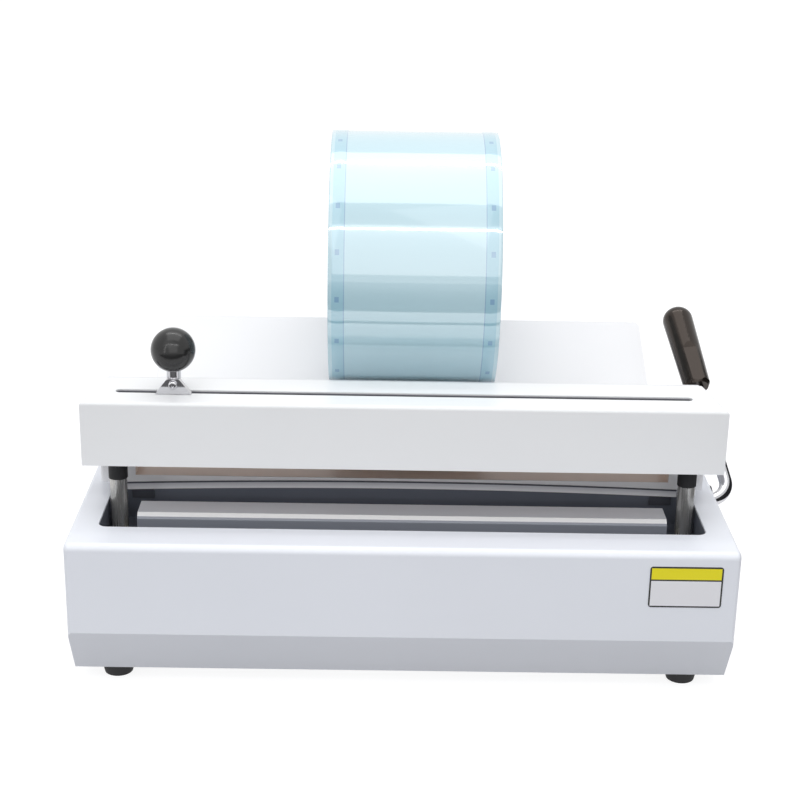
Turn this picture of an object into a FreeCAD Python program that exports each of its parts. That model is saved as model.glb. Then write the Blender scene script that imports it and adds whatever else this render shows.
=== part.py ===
import FreeCAD, Part
import Sketcher
import math
import os
import re

from FreeCAD import Placement, Rotation, Vector

# Bench sealer for sterilization pouches cut from a reel.
# Millimetres. Z is up, X runs to the right along the sealing bar, Y runs away from the user.
# The pieces are drawn about the middle of the base and written out about the middle of the whole object,
# so that the origin of the files is at the table, below the middle of the box round it.

doc = FreeCAD.newDocument("BagSealer")

# Driving sizes
DRIVING = [
    ("base_width", 370.0),
    ("base_depth", 240.0),
    ("base_height", 94.5),
    ("foot_height", 10.5),
    ("foot_diameter", 20.8),
    ("foot_taper", 2.3),
    ("foot_side", 22.0),
    ("foot_rim", 34.0),
    ("cover_wall", 1.5),
    ("front_height", 53.5),
    ("front_set_back", 17.6),
    ("front_bend", 4.0),
    ("side_bend", 2.5),
    ("bottom_wall", 1.5),
    ("recess_side", 15.0),
    ("recess_rim", 25.0),
    ("recess_depth", 64.2),
    ("recess_corner", 5.0),
    ("recess_drop", 22.5),
    ("tray_wall", 1.0),
    ("post_inset", 6.0),
    ("post_rim", 65.0),
    ("post_diameter", 10.0),
    ("bar_end", 11.7),
    ("bar_width", 19.0),
    ("bar_height", 12.0),
    ("bar_bevel", 3.0),
    ("bar_drop", 4.5),
    ("bar_rim", 62.5),
    ("beam_clear", 29.0),
    ("beam_height", 38.0),
    ("beam_depth", 44.0),
    ("beam_rim", 43.0),
    ("beam_side", 4.5),
    ("beam_taper", 7.5),
    ("beam_wall", 1.5),
    ("beam_bend", 2.0),
    ("beam_end_wall", 1.8),
    ("web_wall", 2.0),
    ("web_drop", 26.5),
    ("slot_side", 17.5),
    ("slot_width", 5.5),
    ("press_stroke", 27.0),
    ("pad_width", 9.0),
    ("pad_thickness", 3.0),
    ("pad_inset", 1.0),
    ("collar_diameter", 11.0),
    ("collar_length", 17.0),
    ("housing_side", 6.5),
    ("housing_depth", 34.0),
    ("housing_height", 55.0),
    ("housing_jamb", 20.7),
    ("window_sill", 4.6),
    ("window_height", 13.9),
    ("ramp_side", 0.6),
    ("ramp_foot", 5.73),
    ("ramp_angle", 24.5),
    ("ramp_corner", 4.0),
    ("reel_width", 100.0),
    ("reel_diameter", 157.6),
    ("core_diameter", 44.0),
    ("core_wall", 3.0),
    ("reel_aside", 5.0),
    ("pivot_rim", 101.0),
    ("pivot_drop", 11.5),
    ("shaft_diameter", 10.0),
    ("lever_swing", 72.0),
    ("lever_rise", 34.0),
    ("lever_lean", 8.0),
    ("rod_diameter", 8.0),
    ("rod_bend", 13.0),
    ("bend_inset", 1.1),
    ("rod_reach", 84.4),
    ("grip_length", 63.5),
    ("grip_diameter", 19.3),
    ("grip_neck", 17.0),
    ("cam_radius", 29.0),
    ("cam_thickness", 4.0),
    ("cam_aside", 12.0),
    ("follower_diameter", 10.0),
    ("arm_height", 12.0),
    ("bridge_wall", 4.0),
    ("guide_rod_diameter", 6.0),
    ("guide_rod_drop", 10.5),
    ("slider_length", 20.0),
    ("slider_inset", 33.0),
    ("ball_diameter", 25.0),
    ("ball_rise", 24.8),
    ("stem_diameter", 8.0),
    ("blade_thickness", 0.6),
    ("seat_gap", 0.3),
    ("run_gap", 0.05),
    ("past", 1.0),
    ("foot_screw", 4.0),
    ("vent_y", 20.0),
    ("vent_length", 40.0),
    ("vent_pitch", 16.0),
    ("tray_lip", 6.0),
    ("leg_inset", 25.0),
    ("bridge_depth", 24.0),
    ("bridge_clear", 4.0),
    ("bushing_radius", 6.0),
    ("frame_wall", 2.0),
    ("frame_clear", 2.0),
    ("frame_reach", 30.0),
    ("frame_foot", 12.0),
    ("standoff_end", 6.3),
    ("bar_screw", 4.0),
    ("heater_end", 14.3),
    ("heater_width", 10.0),
    ("heater_height", 3.0),
    ("strip_bow", 2.9),
    ("strip_height", 4.4),
    ("pin_radius", 2.5),
    ("rod_socket", 22.0),
    ("grommet_radius", 7.0),
    ("spring_wire", 1.2),
    ("spring_diameter", 13.4),
    ("spring_turns", 5.0),
    ("foot_rise", 9.0),
    ("panel_height", 46.0),
    ("inlet_inset", 67.0),
    ("inlet_width", 28.0),
    ("inlet_height", 20.0),
    ("switch_aside", 33.0),
    ("switch_width", 14.0),
    ("switch_height", 19.0),
    ("rocker_tilt", 7.0),
    ("screw_gap", 0.1),
    ("foot_screw_head", 2.6),
    ("foot_screw_end", 3.0),
    ("vent_width", 4.0),
    ("tray_gap", 0.5),
    ("tray_hole_gap", 1.0),
    ("bridge_toe", 11.0),
    ("bushing_sink", 2.0),
    ("bushing_flange", 1.5),
    ("frame_edge", 3.0),
    ("frame_drop", 4.0),
    ("frame_gap", 1.0),
    ("frame_window_drop", 8.0),
    ("bearing_wall", 2.0),
    ("bearing_lip", 0.7),
    ("bearing_flange", 1.2),
    ("heater_gap", 0.2),
    ("standoff_half", 4.0),
    ("standoff_inset", 1.0),
    ("bar_skin", 3.0),
    ("bar_screw_head", 2.4),
    ("bar_screw_tip", 1.0),
    ("clamp_inset", 2.0),
    ("clamp_wall", 1.5),
    ("thermostat_radius", 6.5),
    ("thermostat_tab", 24.0),
    ("thermostat_tab_width", 5.0),
    ("thermostat_tab_wall", 1.0),
    ("strip_inset", 1.0),
    ("strip_depth", 1.0),
    ("lug_length", 13.0),
    ("lug_inset", 4.0),
    ("lug_drop", 5.0),
    ("stud_radius", 3.0),
    ("stud_rise", 8.0),
    ("collar_sink", 1.5),
    ("nut_radius", 5.7),
    ("nut_height", 5.0),
    ("arm_half", 6.5),
    ("arm_nose", 8.0),
    ("arm_tail", 7.0),
    ("arm_round", 3.0),
    ("slit_half", 0.6),
    ("roller_side", 0.5),
    ("pin_head", 0.8),
    ("pin_head_lip", 1.0),
    ("cam_spare", 6.0),
    ("hub_side", 1.0),
    ("hub_clear", 1.5),
    ("shaft_spare", 1.4),
    ("grip_bore", 44.5),
    ("grip_edge", 1.5),
    ("grip_lead", 2.5),
    ("grip_tip", 1.2),
    ("flat_length", 27.0),
    ("flat_run", 6.0),
    ("flat_sink", 0.9),
    ("grommet_flange", 1.2),
    ("grommet_lip", 2.0),
    ("grommet_gap", 0.8),
    ("peg_height", 6.0),
    ("peg_gap", 0.5),
    ("web_reach", 7.5),
    ("channel_drop", 8.0),
    ("holder_half", 7.0),
    ("holder_flange", 2.0),
    ("rod_holder_length", 5.0),
    ("rod_holder_half", 6.0),
    ("slider_half_depth", 6.5),
    ("slider_half_height", 6.0),
    ("neck_half_length", 6.0),
    ("neck_half_width", 2.0),
    ("cutter_foot_half", 10.0),
    ("cutter_foot_top_half", 3.5),
    ("cutter_foot_depth", 4.0),
    ("cutter_foot_wall", 1.2),
    ("cutter_foot_round", 2.4),
    ("cutter_screw_radius", 1.5),
    ("cutter_screw_length", 4.3),
    ("cutter_head_radius", 2.6),
    ("cutter_head_height", 1.8),
    ("cutter_screw_drop", 3.3),
    ("knob_bore_end", 1.8),
    ("knob_flat", 1.0),
    ("blade_arm_near", 8.0),
    ("blade_arm_far", 10.5),
    ("blade_arm_low", 3.0),
    ("blade_arm_rise", 4.0),
    ("blade_half", 4.5),
    ("blade_top", 8.0),
    ("blade_point", 12.0),
    ("blade_heel", 8.0),
    ("part_gap", 0.2),
    ("inlet_depth", 22.0),
    ("inlet_ear", 10.0),
    ("panel_lip", 2.0),
    ("inlet_flange", 2.0),
    ("socket_half", 12.0),
    ("socket_half_height", 8.0),
    ("socket_depth", 14.0),
    ("contact_pitch", 7.0),
    ("contact_rise", 4.0),
    ("contact_half", 1.0),
    ("contact_half_height", 2.0),
    ("contact_inset", 2.0),
    ("switch_depth", 18.0),
    ("switch_flange", 1.5),
    ("switch_well_half", 5.5),
    ("switch_well_half_height", 8.0),
    ("switch_well_depth", 9.0),
    ("rocker_pivot", 3.0),
    ("rocker_pin_radius", 1.0),
    ("rocker_half", 5.2),
    ("rocker_tip", 7.3),
    ("rocker_face", 3.6),
    ("rocker_dish", 2.4),
    ("rocker_root", 4.0),
    ("rocker_root_half", 4.5),
    ("rocker_pin_reach", 6.2),
    ("terminal_x", -46.0),
    ("terminal_y", 68.0),
    ("terminal_length", 48.0),
    ("terminal_depth", 16.0),
    ("terminal_base", 6.0),
    ("terminal_pitch", 11.5),
    ("terminal_cell", 9.0),
    ("terminal_cell_depth", 14.0),
    ("terminal_height", 15.0),
    ("terminal_well", 2.6),
    ("terminal_well_depth", 6.0),
]

# Places worked out from the driving sizes
PLACES = [
    ("recess_width", "base_width - 2 * recess_side"),
    ("post_spacing", "recess_width - 2 * post_inset"),
    ("bar_length", "post_spacing - 2 * bar_end"),
    ("beam_front_length", "base_width - 2 * beam_side"),
    ("beam_back_length", "beam_front_length - 2 * beam_taper"),
    ("slot_length", "beam_front_length - 2 * slot_side"),
    ("housing_width", "base_width - 2 * housing_side"),
    ("window_width", "housing_width - 2 * housing_jamb"),
    ("ramp_width", "window_width - 2 * ramp_side"),
    ("bridge_leg", "post_x - leg_inset"),
    ("standoff_x", "bar_length / 2 - standoff_end"),
    ("heater_length", "bar_length - 2 * heater_end"),
    ("pivot_height", "base_height - pivot_drop"),
    ("front_y", "-base_depth / 2"),
    ("back_y", "base_depth / 2"),
    ("side_x", "base_width / 2"),
    ("inner_x", "side_x - cover_wall"),
    ("top_inner", "base_height - cover_wall"),
    ("floor_top", "foot_height + bottom_wall"),
    ("recess_front", "front_y + recess_rim"),
    ("recess_back", "recess_front + recess_depth"),
    ("recess_floor", "base_height - recess_drop"),
    ("post_x", "post_spacing / 2"),
    ("post_y", "front_y + post_rim"),
    ("post_radius", "post_diameter / 2"),
    ("bar_y", "front_y + bar_rim"),
    ("bar_top", "base_height - bar_drop"),
    ("bar_low", "bar_top - bar_height"),
    ("beam_front", "front_y + beam_rim"),
    ("beam_back", "beam_front + beam_depth"),
    ("beam_low", "base_height + beam_clear"),
    ("beam_top", "beam_low + beam_height"),
    ("beam_roof", "beam_top - beam_wall"),
    ("web_top", "beam_top - web_drop"),
    ("web_low", "web_top - web_wall"),
    ("web_half", "beam_back_length / 2 - beam_wall - seat_gap"),
    ("pad_low", "bar_top + press_stroke + seat_gap"),
    ("pad_top", "pad_low + pad_thickness"),
    ("housing_front", "recess_back"),
    ("housing_back", "housing_front + housing_depth"),
    ("housing_top", "base_height + housing_height"),
    ("sill_top", "base_height + window_sill"),
    ("window_top", "sill_top + window_height"),
    ("ramp_back", "back_y - cover_wall - seat_gap"),
    ("ramp_front", "housing_back + seat_gap"),
    ("ramp_low", "base_height + ramp_foot"),
    ("ramp_top", "ramp_low + (ramp_back - ramp_front) * tan(ramp_angle)"),
    ("reel_radius", "reel_diameter / 2"),
    ("reel_reach", "reel_radius + seat_gap"),
    ("lip_across", "(ramp_back - housing_back) * cos(ramp_angle) "
     "+ (ramp_top - housing_top) * sin(ramp_angle)"),
    ("lip_over", "(housing_top - ramp_top) * cos(ramp_angle) "
     "+ (ramp_back - housing_back) * sin(ramp_angle)"),
    ("reel_along", "lip_across - sqrt(reel_reach ^ 2 - (reel_reach - lip_over) ^ 2)"),
    ("reel_y", "ramp_back - reel_along * cos(ramp_angle) - reel_reach * sin(ramp_angle)"),
    ("reel_z", "ramp_top - reel_along * sin(ramp_angle) + reel_reach * cos(ramp_angle)"),
    ("pivot_y", "front_y + pivot_rim"),
    ("shaft_radius", "shaft_diameter / 2"),
    ("hub_radius", "top_inner - pivot_height - hub_clear"),
    ("cam_x", "side_x - cam_aside"),
    ("frame_x", "cam_x + cam_thickness + frame_clear"),
    ("follower_z", "pivot_height - cam_radius"),
    ("arm_low", "follower_z - arm_height / 2"),
    ("arm_top", "follower_z + arm_height / 2"),
    ("bridge_low", "arm_top + bridge_clear"),
    ("bridge_top", "bridge_low + bridge_wall"),
    ("guide_z", "beam_roof - guide_rod_drop"),
    ("slider_x", "slider_inset - slot_length / 2"),
    ("foot_lean", "(cutter_foot_half - cutter_foot_top_half) / (foot_rise - seat_gap)"),
    ("foot_skin", "cutter_foot_wall * sqrt(1 + foot_lean ^ 2)"),
    ("foot_x", "side_x - foot_side"),
    ("foot_front", "front_y + foot_rim"),
    ("foot_back", "back_y - foot_rim / 2"),
    ("inlet_x", "inlet_inset - side_x"),
    ("switch_x", "inlet_x + switch_aside"),
    ("origin_x", "(rod_bend + rod_diameter / 2 - bend_inset) / 2"),
    ("origin_y", "(reel_y + reel_radius + front_y) / 2"),
]

LOOSE_STEP = 10
LOOSE_RISE = 7

driving_names = [name for name, value in DRIVING]
place_names = [name for name, formula in PLACES]


def link(text):
    """Turn plain names into references to the two sheets."""
    def refer(match):
        name = match.group(0)
        if name in driving_names:
            return "Sizes." + name
        if name in place_names:
            return "Places." + name
        return name
    return re.sub(r"[a-z][a-z_]*", refer, text)


sizes = doc.addObject("Spreadsheet::Sheet", "Sizes")
for row, (name, value) in enumerate(DRIVING, start=1):
    sizes.set("A%d" % row, name)
    sizes.set("B%d" % row, str(value))
    sizes.setAlias("B%d" % row, name)
doc.recompute()

places = doc.addObject("Spreadsheet::Sheet", "Places")
for row, (name, formula) in enumerate(PLACES, start=1):
    places.set("A%d" % row, name)
    places.setAlias("B%d" % row, name)
for row, (name, formula) in enumerate(PLACES, start=1):
    places.set("B%d" % row, "=" + link(formula))
doc.recompute()


def size(name):
    """Read one value from the sheets as a plain number."""
    sheet = sizes if name in driving_names else places
    return float(sheet.get(name))


def bind(item, prop, text):
    item.setExpression(prop, link(text))


def put(item, x, y, z):
    """Bind the place of an object to the sheets."""
    for axis, text in zip("xyz", (x, y, z)):
        bind(item, "Placement.Base." + axis, text)
    return item


def box(label, low, high):
    """A block between two corners, each given as three expressions."""
    item = doc.addObject("Part::Box", label)
    for prop, a, b in zip(("Length", "Width", "Height"), low, high):
        bind(item, prop, "(%s) - (%s)" % (b, a))
    return put(item, *low)


TURNS = {"x": Rotation(Vector(0, 1, 0), 90), "y": Rotation(Vector(1, 0, 0), -90), "z": Rotation()}


def rod(label, axis, start, end, radius, across):
    """A cylinder along an axis from start to end, with its middle at across."""
    item = doc.addObject("Part::Cylinder", label)
    item.Placement = Placement(Vector(), TURNS[axis])
    bind(item, "Radius", radius)
    bind(item, "Height", "(%s) - (%s)" % (end, start))
    middle = list(across)
    middle.insert("xyz".index(axis), start)
    return put(item, *middle)


def tube(label, axis, start, end, outer, inner, across):
    """A round sleeve along an axis."""
    outside = rod(label + "_outside", axis, start, end, outer, across)
    inside = rod(label + "_inside", axis, "(%s) - past" % start, "(%s) + past" % end, inner, across)
    return cut(label, outside, inside)


def cut(label, base, *tools):
    item = doc.addObject("Part::Cut", label)
    item.Base = base
    item.Tool = tools[0] if len(tools) == 1 else fuse(label + "_tools", *tools)
    return item


def fuse(label, *shapes):
    item = doc.addObject("Part::MultiFuse", label)
    item.Shapes = list(shapes)
    return item


def group(label, *shapes):
    """Separate solids that share one node."""
    item = doc.addObject("Part::Compound", label)
    item.Links = list(shapes)
    return item


def body(label):
    item = doc.addObject("PartDesign::Body", label)
    item.Label = label
    return item


def sketch(owner, role, offset="0"):
    """A sketch on one of the origin planes of a body, moved along its normal."""
    item = owner.newObject("Sketcher::SketchObject", owner.Name + "_sketch")
    face = [plane for plane in owner.Origin.OriginFeatures if plane.Role == role][0]
    item.AttachmentSupport = (face, [""])
    item.MapMode = "FlatFace"
    bind(item, "AttachmentOffset.Base.z", offset)
    return item


def loose(index):
    """Where a corner lies before it is bound: on a curve, so that no two lines start parallel."""
    return Vector(LOOSE_STEP * index, LOOSE_RISE * index ** 2, 0)


def outline(item, corners):
    """A closed line through corners, each corner bound to the sheets."""
    first = item.GeometryCount
    count = len(corners)
    for index in range(count):
        item.addGeometry(Part.LineSegment(loose(index), loose(index + 1)), False)
    for index in range(count):
        following = first + (index + 1) % count
        item.addConstraint(Sketcher.Constraint("Coincident", first + index, 2, following, 1))
    for index, corner in enumerate(corners):
        for kind, text in zip(("DistanceX", "DistanceY"), corner):
            number = item.addConstraint(Sketcher.Constraint(kind, -1, 1, first + index, 1, 1.0))
            bind(item, "Constraints[%d]" % number, text)


def rectangle(item, x0, y0, x1, y1):
    outline(item, [(x0, y0), (x1, y0), (x1, y1), (x0, y1)])


def feature(owner, kind, profile, length, symmetric=False):
    """A pad or pocket of a sketch."""
    item = owner.newObject("PartDesign::" + kind, owner.Name + "_" + kind.lower())
    item.Profile = profile
    if symmetric:
        item.SideType = "Symmetric"
    bind(item, "Length", length)
    return item


def revolve(owner, profile, axis):
    """A full turn of a sketch about one of its own axes."""
    item = owner.newObject("PartDesign::Revolution", owner.Name + "_revolution")
    item.Profile = profile
    item.ReferenceAxis = (profile, [axis])
    item.Angle = 360
    return item


def edges(item, test):
    """Names of the edges of a feature that a test on their box and length picks."""
    doc.recompute()
    found = []
    for index, edge in enumerate(item.Shape.Edges, start=1):
        if test(edge.BoundBox):
            found.append("Edge%d" % index)
    return found


def round_off(owner, item, radius, test):
    """Round the picked edges of the last feature of a body."""
    names = edges(item, test)
    fillet = owner.newObject("PartDesign::Fillet", owner.Name + "_fillet")
    fillet.Base = (item, names)
    bind(fillet, "Radius", radius)
    return fillet


def near(a, b):
    return abs(a - b) < 0.01


def along_x(b):
    return b.XLength > 1 and near(b.YLength, 0) and near(b.ZLength, 0)


def along_y(b):
    return b.YLength > 1 and near(b.XLength, 0) and near(b.ZLength, 0)


def along_z(b):
    return b.ZLength > 1 and near(b.XLength, 0) and near(b.YLength, 0)


VENT_COUNT = 7
TERMINAL_COUNT = 4
CAM_STEPS = 14
GRIP_FLATS = 2
WIRE_SIDES = 4
nodes = []


def node(item, label):
    item.Label = label
    nodes.append(item)
    return item


# Base cover: one folded sheet with its lower front edge set back, open below
def make_base_cover():
    blank = body("base_blank")
    side = sketch(blank, "YZ_Plane")
    low_front = "front_y + front_set_back"
    outline(side, [(low_front, "foot_height"), ("front_y", "base_height - front_height"),
                   ("front_y", "base_height"), ("back_y", "base_height"), ("back_y", "foot_height")])
    shell = feature(blank, "Pad", side, "base_width", symmetric=True)
    top = size("base_height")
    front = size("front_y")
    shell = round_off(blank, shell, "front_bend",
                      lambda b: along_x(b) and near(b.ZMax, top) and near(b.YMax, front))
    shell = round_off(blank, shell, "side_bend",
                      lambda b: near(b.ZMin, top) and (along_y(b) or along_x(b)))
    inside = sketch(blank, "YZ_Plane")
    outline(inside, [(low_front + " + cover_wall", "foot_height - past"),
                     (low_front + " + cover_wall", "foot_height"),
                     ("front_y + cover_wall", "base_height - front_height"),
                     ("front_y + cover_wall", "top_inner"), ("back_y - cover_wall", "top_inner"),
                     ("back_y - cover_wall", "foot_height - past")])
    feature(blank, "Pocket", inside, "base_width - 2 * cover_wall", symmetric=True)
    mouth = sketch(blank, "XY_Plane", "base_height + past")
    rectangle(mouth, "-recess_width / 2", "recess_front", "recess_width / 2", "recess_back")
    hole = feature(blank, "Pocket", mouth, "cover_wall + 2 * past")
    front_line = size("recess_front")
    back_line = size("recess_back")
    round_off(blank, hole, "recess_corner",
              lambda b: along_z(b) and b.ZMax > top - 0.1 and front_line - 0.1 < b.YMin < back_line + 0.1)
    lever_hole = rod("cover_lever_hole", "x", "inner_x - past", "side_x + past", "grommet_radius",
                     ("pivot_y", "pivot_height"))
    windows = []
    for name, middle, width, height in (("inlet", "inlet_x", "inlet_width", "inlet_height"),
                                        ("switch", "switch_x", "switch_width", "switch_height")):
        windows.append(box("cover_%s_window" % name,
                           ("%s - %s / 2" % (middle, width), "back_y - cover_wall - past",
                            "panel_height - %s / 2" % height),
                           ("%s + %s / 2" % (middle, width), "back_y + past",
                            "panel_height + %s / 2" % height)))
    node(cut("base_cover_cut", blank, lever_hole, *windows), "base_cover")


# Bottom plate with rows of vents and holes for the screws of the feet
def make_bottom_plate():
    blank = body("bottom_blank")
    plan = sketch(blank, "XY_Plane", "foot_height")
    rectangle(plan, "-inner_x + seat_gap", "front_y + front_set_back + cover_wall + seat_gap",
              "inner_x - seat_gap", "back_y - cover_wall - seat_gap")
    feature(blank, "Pad", plan, "bottom_wall")
    vent = sketch(blank, "XY_Plane", "floor_top + past")
    first = "-vent_pitch * %d" % (VENT_COUNT // 2)
    rectangle(vent, first + " - vent_width / 2", "vent_y", first + " + vent_width / 2",
              "vent_y + vent_length")
    slit = feature(blank, "Pocket", vent, "bottom_wall + 2 * past")
    row = blank.newObject("PartDesign::LinearPattern", "vent_row")
    row.Originals = [slit]
    row.Direction = (vent, ["H_Axis"])
    row.Occurrences = VENT_COUNT
    bind(row, "Length", "vent_pitch * %d" % (VENT_COUNT - 1))
    blank.Tip = row
    holes = []
    for number, (x, y) in enumerate(foot_places()):
        holes.append(rod("bottom_hole_%d" % number, "z", "foot_height - past", "floor_top + past",
                         "foot_screw / 2 + screw_gap", (x, y)))
    node(cut("bottom_plate_cut", blank, *holes), "bottom_plate")


def foot_places():
    return [("-foot_x", "foot_front"), ("foot_x", "foot_front"), ("-foot_x", "foot_back"),
            ("foot_x", "foot_back")]


# Four tapered rubber feet, each on a screw from below
def make_feet():
    feet = []
    screws = []
    for number, (x, y) in enumerate(foot_places()):
        cone = doc.addObject("Part::Cone", "foot_cone_%d" % number)
        bind(cone, "Radius1", "foot_diameter / 2 - foot_taper")
        bind(cone, "Radius2", "foot_diameter / 2")
        bind(cone, "Height", "foot_height")
        put(cone, x, y, "0")
        well = rod("foot_well_%d" % number, "z", "-1", "foot_height / 2", "foot_screw + seat_gap", (x, y))
        bore = rod("foot_bore_%d" % number, "z", "0", "foot_height + past", "foot_screw / 2 + screw_gap",
                   (x, y))
        feet.append(cut("foot_%d" % number, cone, well, bore))
        head = rod("foot_head_%d" % number, "z", "foot_height / 2 - foot_screw_head", "foot_height / 2",
                   "foot_screw", (x, y))
        shank = rod("foot_shank_%d" % number, "z", "foot_height / 2", "floor_top + foot_screw_end",
                    "foot_screw / 2", (x, y))
        screws.append(fuse("foot_screw_%d" % number, head, shank))
    node(group("feet_group", *feet), "feet")
    node(group("foot_screws_group", *screws), "foot_screws")


# Dark trough below the mouth of the base, with a lip in front and behind
def make_recess_tray():
    inner_x = "recess_width / 2 + tray_gap"
    front = "recess_front - tray_gap"
    back = "recess_back + tray_gap"
    outer = box("tray_outer", ("-(%s + tray_wall)" % inner_x, front + " - tray_wall",
                               "recess_floor - tray_wall"),
                (inner_x + " + tray_wall", back + " + tray_wall", "top_inner"))
    lip = box("tray_lip", ("-(%s)" % inner_x, front + " - tray_lip", "top_inner - tray_wall"),
              (inner_x, back + " + tray_lip / 2", "top_inner"))
    hollow = box("tray_hollow", ("-(%s)" % inner_x, front, "recess_floor"),
                 (inner_x, back, "top_inner + past"))
    holes = []
    below = "recess_floor - tray_wall - past"
    above = "recess_floor + past"
    for side, x in (("left", "-post_x"), ("right", "post_x")):
        holes.append(rod("tray_post_hole_" + side, "z", below, above, "post_radius + tray_hole_gap",
                         (x, "post_y")))
    for side, x in (("left", "-standoff_x"), ("right", "standoff_x")):
        holes.append(rod("tray_screw_hole_" + side, "z", below, above, "bar_screw / 2 + screw_gap",
                         (x, "bar_y")))
    node(cut("tray_cut", fuse("tray_sheet", outer, lip), hollow, *holes), "recess_tray")


# Frame under the trough that carries the two post bushings
def make_guide_bridge():
    blank = body("bridge_blank")
    face = sketch(blank, "XZ_Plane", "-post_y")
    end = "post_x + arm_half"
    leg = "bridge_leg"
    wall = "bridge_leg - bridge_wall"
    toe = "bridge_leg + bridge_toe"
    rise = "floor_top + bridge_wall / 2"
    right = [(end, "bridge_top"), (end, "bridge_low"), (leg, "bridge_low"), (leg, rise), (toe, rise),
             (toe, "floor_top"), (wall, "floor_top"), (wall, "bridge_low")]
    left = [("-(%s)" % x, z) for x, z in reversed(right)]
    outline(face, right + left)
    feature(blank, "Pad", face, "bridge_depth", symmetric=True)
    holes = []
    for side, x in (("left", "-post_x"), ("right", "post_x")):
        holes.append(rod("bridge_hole_" + side, "z", "bridge_low - past", "bridge_top + past",
                         "bushing_radius", (x, "post_y")))
    node(cut("bridge_cut", blank, *holes), "guide_bridge")
    for side, x in (("left", "-post_x"), ("right", "post_x")):
        sleeve = rod("bushing_sleeve_" + side, "z", "bridge_low - bushing_sink", "bridge_top",
                     "bushing_radius", (x, "post_y"))
        collar = rod("bushing_flange_" + side, "z", "bridge_top", "recess_floor - tray_wall - tray_gap",
                     "bushing_radius + bushing_flange", (x, "post_y"))
        bore = rod("bushing_bore_" + side, "z", "bridge_low - bushing_sink - past", "recess_floor",
                   "post_radius + run_gap", (x, "post_y"))
        solid = fuse("bushing_solid_" + side, sleeve, collar)
        node(cut("bushing_cut_" + side, solid, bore), "post_bushing_" + side)


def span(side, near_x, far_x):
    """Low and high X for a piece on one side, from its distances off the middle."""
    if side == "right":
        return near_x, far_x
    return "-(%s)" % far_x, "-(%s)" % near_x


# Upright plates that carry the cross shaft in flanged bearings
def make_side_frames():
    for side in ("left", "right"):
        blank = body("frame_blank_" + side)
        low, high = span(side, "frame_x", "frame_x + frame_wall")
        face = sketch(blank, "YZ_Plane", low)
        head = "hub_radius + frame_edge"
        shoulder = "pivot_height - frame_drop"
        crown = "top_inner - frame_gap"
        outline(face, [("pivot_y - frame_reach", "floor_top"), ("pivot_y + frame_reach", "floor_top"),
                       ("pivot_y + " + head, shoulder), ("pivot_y + " + head, crown),
                       ("pivot_y - (%s)" % head, crown), ("pivot_y - (%s)" % head, shoulder)])
        feature(blank, "Pad", face, "frame_wall")
        low, high = span(side, "frame_x - frame_foot", "frame_x + frame_wall / 2")
        foot = box("frame_foot_" + side, (low, "pivot_y - frame_reach / 2", "floor_top"),
                   (high, "pivot_y + frame_reach", "floor_top + frame_wall"))
        low, high = span(side, "frame_x - past", "frame_x + frame_wall + past")
        window = rod("frame_window_" + side, "x", low, high, "frame_reach / 2",
                     ("pivot_y", "(floor_top + pivot_height) / 2 - frame_window_drop"))
        bore = rod("frame_bore_" + side, "x", low, high, "shaft_radius + bearing_wall",
                   ("pivot_y", "pivot_height"))
        plate = cut("frame_plate_" + side, blank, window, bore)
        node(fuse("frame_solid_" + side, plate, foot), "side_frame_" + side)
        low, high = span(side, "frame_x - bearing_lip", "frame_x + frame_wall")
        sleeve = rod("bearing_sleeve_" + side, "x", low, high, "shaft_radius + bearing_wall",
                     ("pivot_y", "pivot_height"))
        low, high = span(side, "frame_x + frame_wall", "frame_x + frame_wall + bearing_flange")
        flange = rod("bearing_flange_" + side, "x", low, high,
                     "shaft_radius + bearing_wall + 2 * bearing_lip", ("pivot_y", "pivot_height"))
        low, high = span(side, "frame_x - 2 * past", "frame_x + frame_wall + 2 * past")
        hole = rod("bearing_hole_" + side, "x", low, high, "shaft_radius + run_gap",
                   ("pivot_y", "pivot_height"))
        solid = fuse("bearing_solid_" + side, sleeve, flange)
        node(cut("bearing_cut_" + side, solid, hole), "shaft_bearing_" + side)


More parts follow.
